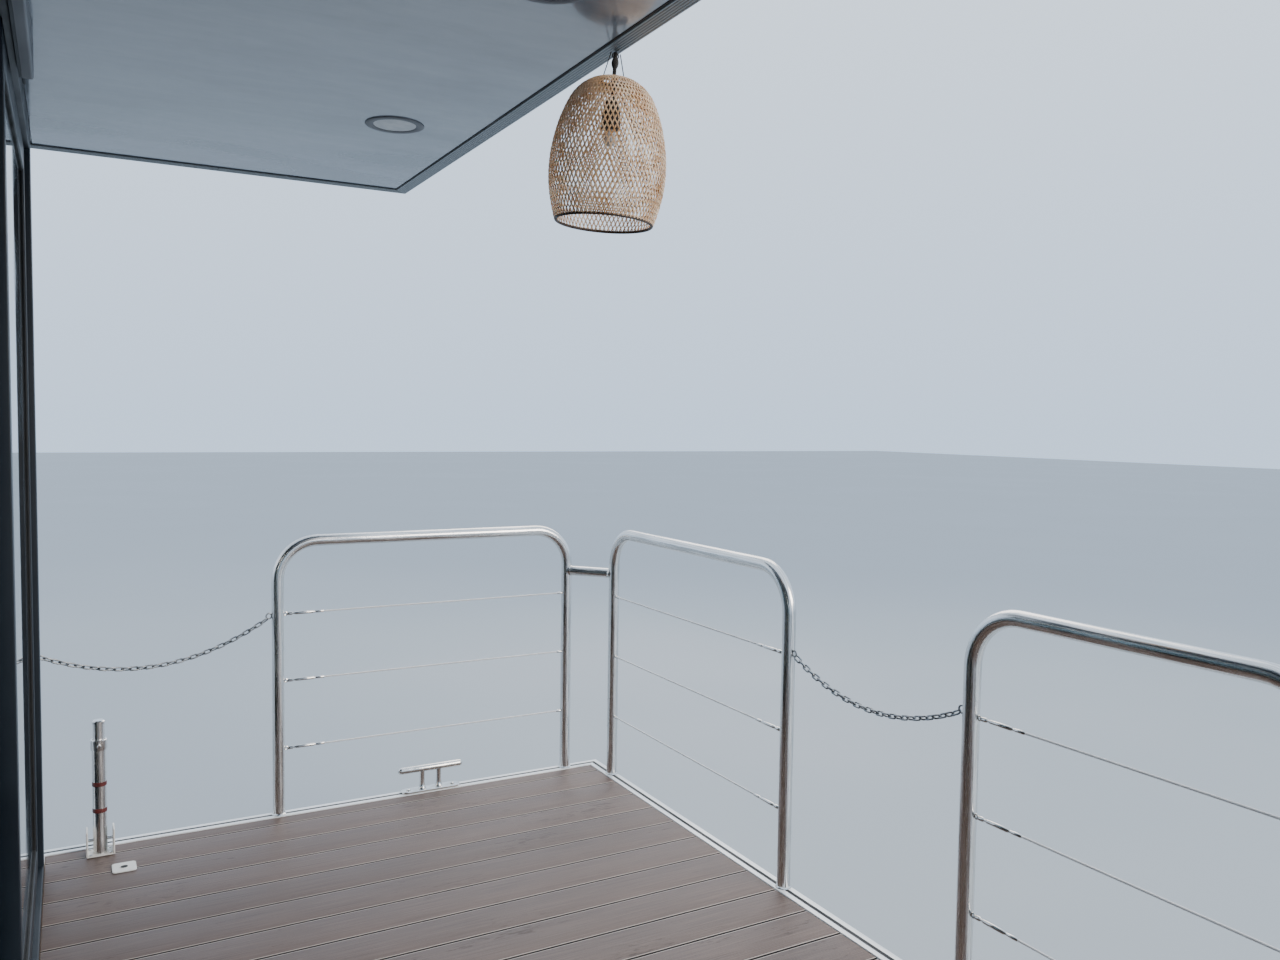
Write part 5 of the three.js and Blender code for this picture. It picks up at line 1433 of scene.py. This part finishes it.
def makeLadder():
    (y0, y1), x, z, bend = ladder["y"], ladder["x"], ladder["z"], ladder["bend"]
    turn = np.linspace(0, pi / 2, 9)
    rise = z + ladder["reach"] - bend + bend * np.sin(turn)
    inset = bend * (1 - np.cos(turn))
    y = np.concatenate([[y0], y0 + inset, (y1 - inset)[::-1], [y1]])
    height = np.concatenate([[z], rise, rise[::-1], [z]])
    frameTube = sweep(np.stack([np.full(len(y), x), y, height], -1), ringSection(ladder["radius"], 20), (1, 0, 0))
    pivot = bar((x, y0 - ladder["pivotOut"], z), (x, y1 + ladder["pivotOut"], z), ladder["radius"], 20, 0.0015)
    depth, half = ladder["tread"]
    treads, grips = [], []
    for step in ladder["rungs"]:
        treads.append(softBox((x - depth, y0, z + step - half), (x + depth, y1, z + step + half), 0.004, 3))
        for k in (-0.012, 0, 0.012):
            grips.append(softBox((x - depth - 0.0015, y0 + 0.03, z + step + k - 0.003),
                                 (x + depth + 0.0015, y1 - 0.03, z + step + k + 0.003), 0.0012))
    makePiece("boardingLadder", "ladder",
              [(tubeSteel, [frameTube, pivot]), (edgeMetal, treads), (rubber, grips)], ["boarding_ladder"])


def makeLadderBrackets():
    low, high = cadSpan("ladder_brackets")
    plate = softRectangle(low[1], high[1], low[2], high[2], 0.012, 5)
    parts = [slab(plate, high[0] - 0.006, high[0], "yzx", 0.0015)]
    ear = 0.03
    outline = np.array(softRectangle(low[0], high[0] - 0.003, ladder["z"] - 0.022, ladder["z"] + 0.022, 0.012, 5))
    for y0, y1 in ((low[1], low[1] + ear), (high[1] - ear, high[1])):
        parts.append(slab(outline, y0, y1, "xzy", 0.0015))
    face = high[0] - 0.006
    parts += [bolt((face, y, low[2] + 0.025), (-1, 0, 0), 0.007, 0.005)
              for y in np.linspace(low[1] + 0.03, high[1] - 0.03, 5)]
    makePiece("ladderBrackets", "boat", [(casting, parts)], ["ladder_brackets"])


makeLadder()
makeLadderBrackets()

# Outboard
outboard = {
    "tilt": (-6.03, 0.76), "steerX": -6.09, "back": -6.135, "cowlX": (-6.42, -6.05), "cowlHalf": 0.165,
    "cowlZ": (0.8283, 1.223), "propZ": 0.19, "hubX": (-6.3456, -6.4156), "hub": 0.042, "tip": 0.15,
    "pitch": 0.28, "blades": 3,
}


def cowlPart():
    # plan rings are superellipses whose size falls towards the crown, with a step where the lower pan ends
    (x0, x1), half, (z0, z1) = outboard["cowlX"], outboard["cowlHalf"], outboard["cowlZ"]
    turn = np.linspace(0, 2 * pi, 56, endpoint=False)
    plan = np.stack([np.sign(np.cos(turn)) * np.abs(np.cos(turn)) ** 0.62,
                     np.sign(np.sin(turn)) * np.abs(np.sin(turn)) ** 0.62], -1)
    share = np.array([0, 0.02, 0.165, 0.17, 0.19, 0.195, 0.35, 0.5, 0.62, 0.72, 0.8, 0.87, 0.92, 0.96, 0.985,
                      0.997, 1.0])
    size = (1 - share ** 5).clip(0.0004) ** 0.42
    size = size * np.where((share > 0.168) & (share < 0.193), 0.975, 1.0) * np.where(share < 0.01, 0.96, 1.0)
    slide = 0.035 * share ** 3
    x = (x0 + x1) / 2 + slide[:, None] * size[:, None] + (x1 - x0) / 2 * size[:, None] * plan[None, :, 0]
    y = half * size[:, None] * plan[None, :, 1]
    z = z0 + (z1 - z0) * share[:, None]
    return gridPart(spread(x.clip(x0, x1), y, z), wrapV=True)


def legPart():
    # upright sections shaped like a foil: half thickness goes as the root of the distance from each edge
    stations = np.array([  # height, aft edge, fore edge, half thickness
        (0.022, -6.205, -6.158, 0.007), (0.10, -6.222, -6.135, 0.012), (0.18, -6.23, -6.117, 0.018),
        (0.32, -6.243, -6.113, 0.024), (0.46, -6.255, -6.110, 0.030), (0.54, -6.262, -6.13, 0.034),
        (0.70, -6.275, -6.135, 0.037), (0.8275, -6.285, -6.135, 0.038)])
    z = np.linspace(stations[0, 0], stations[-1, 0], 30)
    aft, fore, half = (np.interp(z, stations[:, 0], stations[:, k])[:, None] for k in (1, 2, 3))
    turn = np.linspace(0, 2 * pi, 40, endpoint=False)[None]
    share = (1 + np.cos(turn)) / 2
    x = aft + (fore - aft) * share
    y = half * np.sign(np.sin(turn)) * np.abs(np.sin(turn)) ** 0.7
    return gridPart(spread(x, y, z[:, None]), wrapV=True)


def bladePart(angle):
    # radial stations of a lens section, each turned to the helix angle of one pitch
    o = outboard
    radius = np.linspace(0.034, o["tip"], 14)[:, None]
    share = (radius - 0.034) / (o["tip"] - 0.034)
    chord = 0.026 + 0.05 * np.sin(pi * share ** 0.8) * (1 - 0.35 * share)
    chord = chord * np.sqrt((1 - share ** 6).clip(0.02))
    thick = 0.0052 * (1 - 0.7 * share)
    turn = np.linspace(0, 2 * pi, 20, endpoint=False)[None]
    along = chord * np.cos(turn) + 0.012 * share
    off = thick * np.sin(turn) * np.abs(np.sin(turn)) ** 0.3
    helix = np.arctan(o["pitch"] / (2 * pi * radius))
    x = along * np.sin(helix) + off * np.cos(helix)
    sideways = (along * np.cos(helix) - off * np.sin(helix)) / radius
    middle = sum(o["hubX"]) / 2
    reach = min(abs(middle - o["hubX"][0]), abs(middle - o["hubX"][1])) + 0.004
    around = sideways + angle
    y, z = radius * np.sin(around), o["propZ"] + radius * np.cos(around)
    return gridPart(spread(middle + x.clip(-reach, reach), y, z), wrapV=True)


def makeOutboard():
    o = outboard
    back, steer = o["back"], o["steerX"]
    x0, x1 = o["cowlX"]
    grip = softBox((x1 - 0.02, -0.05, 0.845), (x1 - 0.0005, 0.05, 0.87), 0.006, 3)
    vents = [softBox((x0 + 0.06, sign * 0.150, 1.02 + k * 0.022), (x0 + 0.16, sign * 0.1655, 1.03 + k * 0.022), 0.002)
             for k in range(3) for sign in (-1, 1)]
    makePiece("outboardCowl", "outboard", [(enamel, [cowlPart()]), (rubber, [grip, *vents])],
              ["outboard_cowl"], 40)
    nose = back + 0.09
    torpedo = turned((nose, 0, o["propZ"]), (-1, 0, 0),
                     [(0.0005, 0), (0.012, 0.006), (0.022, 0.02), (0.033, 0.05), (0.041, 0.09), (0.044, 0.13),
                      (0.044, 0.28), (0.042, 0.3)], 32)
    plate = slab(softRectangle(back - 0.26, back + 0.03, -0.085, 0.085, 0.05, 8), 0.372, 0.384, chamfer=0.003)
    leg = [
        legPart(), torpedo, plate,
        softBox((back - 0.04, -0.07, 0.8005), (steer + 0.036, 0.07, 0.828), 0.008, 3),
        softBox((back - 0.01, -0.044, 0.53), (steer + 0.036, 0.044, 0.5595), 0.008, 3),
    ]
    makePiece("outboardLeg", "outboard", [(enamel, leg)], ["outboard_leg"], 40)
    hubFront, hubBack = o["hubX"]
    length = hubFront - hubBack
    hubShape = turned((hubFront, 0, o["propZ"]), (-1, 0, 0),
                      [(0.039, 0), (o["hub"], 0.004), (0.041, 0.04), (0.036, length - 0.012), (0.018, length - 0.002),
                       (0.012, length)], 28)
    blades = [bladePart(2 * pi * k / o["blades"]) for k in range(o["blades"])]
    makePiece("outboardPropeller", "propeller", [(enamel, [hubShape, *blades])],
              ["outboard_propeller"], 45)


def makeOutboardMount():
    tiltX, tiltZ = outboard["tilt"]
    face = cadSpan("outboard_clamp")[1][0]  # the clamp's side towards the boat
    side = eased([
        (face, 0.52), (face - 0.04, 0.52), (tiltX - 0.03, tiltZ - 0.02), (tiltX - 0.024, tiltZ + 0.024),
        (tiltX + 0.024, tiltZ + 0.024), (face, tiltZ - 0.01)], 0.012, 4)
    parts = [slab(side, y0, y1, "xzy", 0.003) for y0, y1 in ((0.062, 0.088), (-0.088, -0.062))]
    parts.append(softBox((face - 0.014, -0.088, 0.54), (face, 0.088, 0.70), 0.003))
    bolts = [bolt((face - 0.014, y, z), (-1, 0, 0), 0.009, 0.008) for y in (-0.04, 0.04) for z in (0.57, 0.67)]
    bolts += [turned((tiltX, sign * 0.088, tiltZ), (0, sign, 0), [(0.014, 0), (0.014, 0.006), (0.009, 0.009)], 16)
              for sign in (-1, 1)]
    makePiece("outboardClamp", "boat", [(enamel, parts), (casting, bolts)], ["outboard_clamp"])
    steer = outboard["steerX"]
    column = turned((steer, 0, 0.56), (0, 0, 1), [(0.029, 0), (0.032, 0.004), (0.032, 0.236), (0.029, 0.24)], 28)
    barrel = bar((tiltX, -0.0615, tiltZ), (tiltX, 0.0615, tiltZ), 0.022, 24, 0.002)
    web = softBox((steer, -0.04, tiltZ - 0.04), (tiltX, 0.04, tiltZ + 0.016), 0.008, 3)
    makePiece("outboardSwivel", "swivel", [(enamel, [column, barrel, web])], ["outboard_swivel"])


makeOutboard()
makeOutboardMount()
print("outboard made")

# Woven pendant: two families of bamboo strips that pass over and under each other
pendant = {
    "hook": (5.590, 0.800, 3.3077), "lean": (1.7, 3.0), "strips": 72, "width": 0.0031, "thick": 0.0009,
    "lift": 0.0011, "sweepTurn": 1.3, "steps": 116, "hidden": 0.004,
    "outside": ((30, 63), (55, 70), (77, 84), (95.5, 105), (110, 135), (122, 168.5), (131, 206), (136.4, 241),
                (138, 277), (136.4, 308), (132, 336), (125, 366), (116, 396)),  # radius and height below the hook, mm
}


def lampPlace(parts):
    turn = turnAbout("X", pendant["lean"][0]) @ turnAbout("Y", pendant["lean"][1])
    return [moved(part, pendant["hook"], turn) for part in parts]


def wovenStrips():
    # a strip's angle grows evenly with the distance down the shade; over and under is one cosine of that angle
    p = pendant
    outline = np.array(p["outside"]) / 1000
    run = np.concatenate([[0], np.cumsum(np.linalg.norm(np.diff(outline, axis=0), axis=1))])
    knots = np.linspace(0, 1, p["steps"])
    place = p["hidden"] + knots * (run[-1] - 2 * p["hidden"])  # both ends lie inside the rims' rattan
    smooth = [np.interp(place, run, outline[:, k]) for k in (0, 1)]
    kernel = np.hanning(13) / np.hanning(13).sum()
    padded = [np.concatenate([2 * s[0] - s[6:0:-1], s, 2 * s[-1] - s[-2:-8:-1]]) for s in smooth]
    radius, height = (np.convolve(s, kernel, "valid") for s in padded)
    radius = radius - p["lift"] - p["thick"]
    slope = np.stack([np.gradient(height), np.gradient(radius)], -1)
    slope /= np.linalg.norm(slope, axis=1, keepdims=True)
    parts = []
    starts = np.arange(p["strips"]) * 2 * pi / p["strips"]
    for sense in (1, -1):
        turn = sense * p["sweepTurn"] * knots
        weave = sense * p["lift"] * np.cos(p["strips"] * p["sweepTurn"] * knots)
        out = radius + weave * slope[:, 0]
        drop = height - weave * slope[:, 1]
        angle = starts[:, None] + turn
        ray = np.stack([np.cos(angle), np.sin(angle), 0 * angle], -1)
        centre = out[:, None] * ray - drop[:, None] * np.array([0, 0, 1])
        normal = slope[:, 0, None] * ray + slope[:, 1, None] * np.array([0, 0, 1])
        tangent = np.gradient(centre, axis=1)
        across = np.cross(normal, tangent)
        across /= np.linalg.norm(across, axis=2, keepdims=True)
        w, h = p["width"] / 2, p["thick"] / 2
        corners = np.stack([centre + a * w * across + b * h * normal
                            for a, b in ((1, 1), (-1, 1), (-1, -1), (1, -1))], 2)
        parts += [gridPart(strip, wrapV=True) for strip in corners]
    return parts


def makePendant():
    p = pendant
    crown, rim = np.array(p["outside"][0]) / 1000, np.array(p["outside"][-1]) / 1000
    rims = [
        hoop((0, 0, -rim[1] + 0.0036), (0, 0, 1), rim[0] - 0.0034, 0.0034, 72, 10),
        hoop((0, 0, -crown[1] - 0.004), (0, 0, 1), crown[0] - 0.001, 0.0034, 36, 8),
        bar((-0.028, 0, -0.066), (0.028, 0, -0.066), 0.0022, 10),
        bar((0, -0.028, -0.066), (0, 0.028, -0.066), 0.0022, 10),
    ]
    makePiece("wovenShade", "boat", [(bamboo, lampPlace(wovenStrips())), (rattan, lampPlace(rims))],
              ["lamp_shade"], 50)
    cable = turned((0, 0, -0.0004), (0, 0, -1), [
        (0.003, 0), (0.0045, 0.002), (0.0045, 0.012), (0.0075, 0.018), (0.0088, 0.025), (0.0075, 0.032),
        (0.0046, 0.038), (0.0043, 0.106), (0.012, 0.11), (0.0175, 0.116), (0.018, 0.128), (0.0215, 0.143),
        (0.022, 0.176), (0.019, 0.178)], 20)
    hook = hoop((0, 0, -0.009), (0, 1, 0), 0.0075, 0.0016, 20, 8)
    cords = [bar((sign * 0.012, 0, -0.003), (sign * 0.029, 0, -0.065), 0.0012, 8) for sign in (-1, 1)]
    bulb = turned((0, 0, -0.176), (0, 0, -1), [
        (0.009, 0), (0.0105, 0.006), (0.0145, 0.013), (0.0165, 0.021), (0.016, 0.029), (0.012, 0.036), (0.005, 0.04),
        (0.0005, 0.041)], 24)
    makePiece("lampHanger", "boat",
              [(cordBlack, lampPlace([cable, hook, *cords])), (lens, lampPlace([bulb]))], ["lamp_hanger"], 45)


makePendant()
print("pendant made")

# Stage: a pale floor at the water's surface, a pale sky and soft lights
stage = {
    "water": 0.45, "half": 60.0, "floor": ("#9AA2A8", "#A4ABB0"), "sky": ("#BFD5EE", "#DCEAFB"), "skyTop": 0.4,
    "skyStrength": 1.65, "warmth": "#FFF1E2",
    # place, what it points at, size in metres, power in watts
    "lights": (
        ((9.5, 6.5, 6.5), (5.4, 2.0, 1.6), 5.0, 240),
        ((10.0, -5.5, 5.5), (5.0, 0.5, 2.0), 4.0, 620),
        ((-9.0, 3.0, 8.0), (-3.0, 0.0, 1.5), 6.0, 240),
    ),
}


def facing(way):
    # turns a light's -Z towards a direction
    forward = way / np.linalg.norm(way)
    right = np.cross(forward, (0, 0, 1))
    right /= np.linalg.norm(right)
    return Matrix(np.stack([right, np.cross(right, forward), -forward], -1).tolist()).to_4x4()


def makeStage():
    s = stage
    half, z = s["half"], s["water"]
    material, _ = patchyFinish("paleStudioFloor", s["floor"], (0.5, 0.7), (4000, 4000, 4000))
    mesh = bpy.data.meshes.new("studioFloor")
    mesh.from_pydata([(-half, -half, z), (half, -half, z), (half, half, z), (-half, half, z)], [], [(0, 1, 2, 3)])
    mesh.materials.append(material)
    floor = bpy.data.objects.new("studioFloor", mesh)
    bpy.context.scene.collection.objects.link(floor)
    world = bpy.data.worlds.new("studioSky")
    bpy.context.scene.world = world
    world.use_nodes = True
    # the sky's tone by its own direction: a little deeper at the horizon than above
    height = addNode(world, "SeparateXYZ", {"Vector": addNode(world, "TexCoord", output="Generated")}, "Z")
    share = addNode(world, "MapRange", {"Value": height, "From Max": s["skyTop"]})
    tone = addNode(world, "Mix", {0: share, 6: s["sky"][0], 7: s["sky"][1]}, 2, data_type="RGBA")
    feed(world.node_tree.nodes["Background"], {"Color": tone, "Strength": s["skyStrength"]})
    for place, target, size, power in s["lights"]:
        data = bpy.data.lights.new("softLight", "AREA")
        data.energy, data.size, data.color = power, size, srgbToLinear(s["warmth"])[:3]
        light = bpy.data.objects.new("softLight", data)
        light.matrix_world = Matrix.Translation(place) @ facing(np.subtract(target, place))
        bpy.context.scene.collection.objects.link(light)


makeStage()
print("stage made")
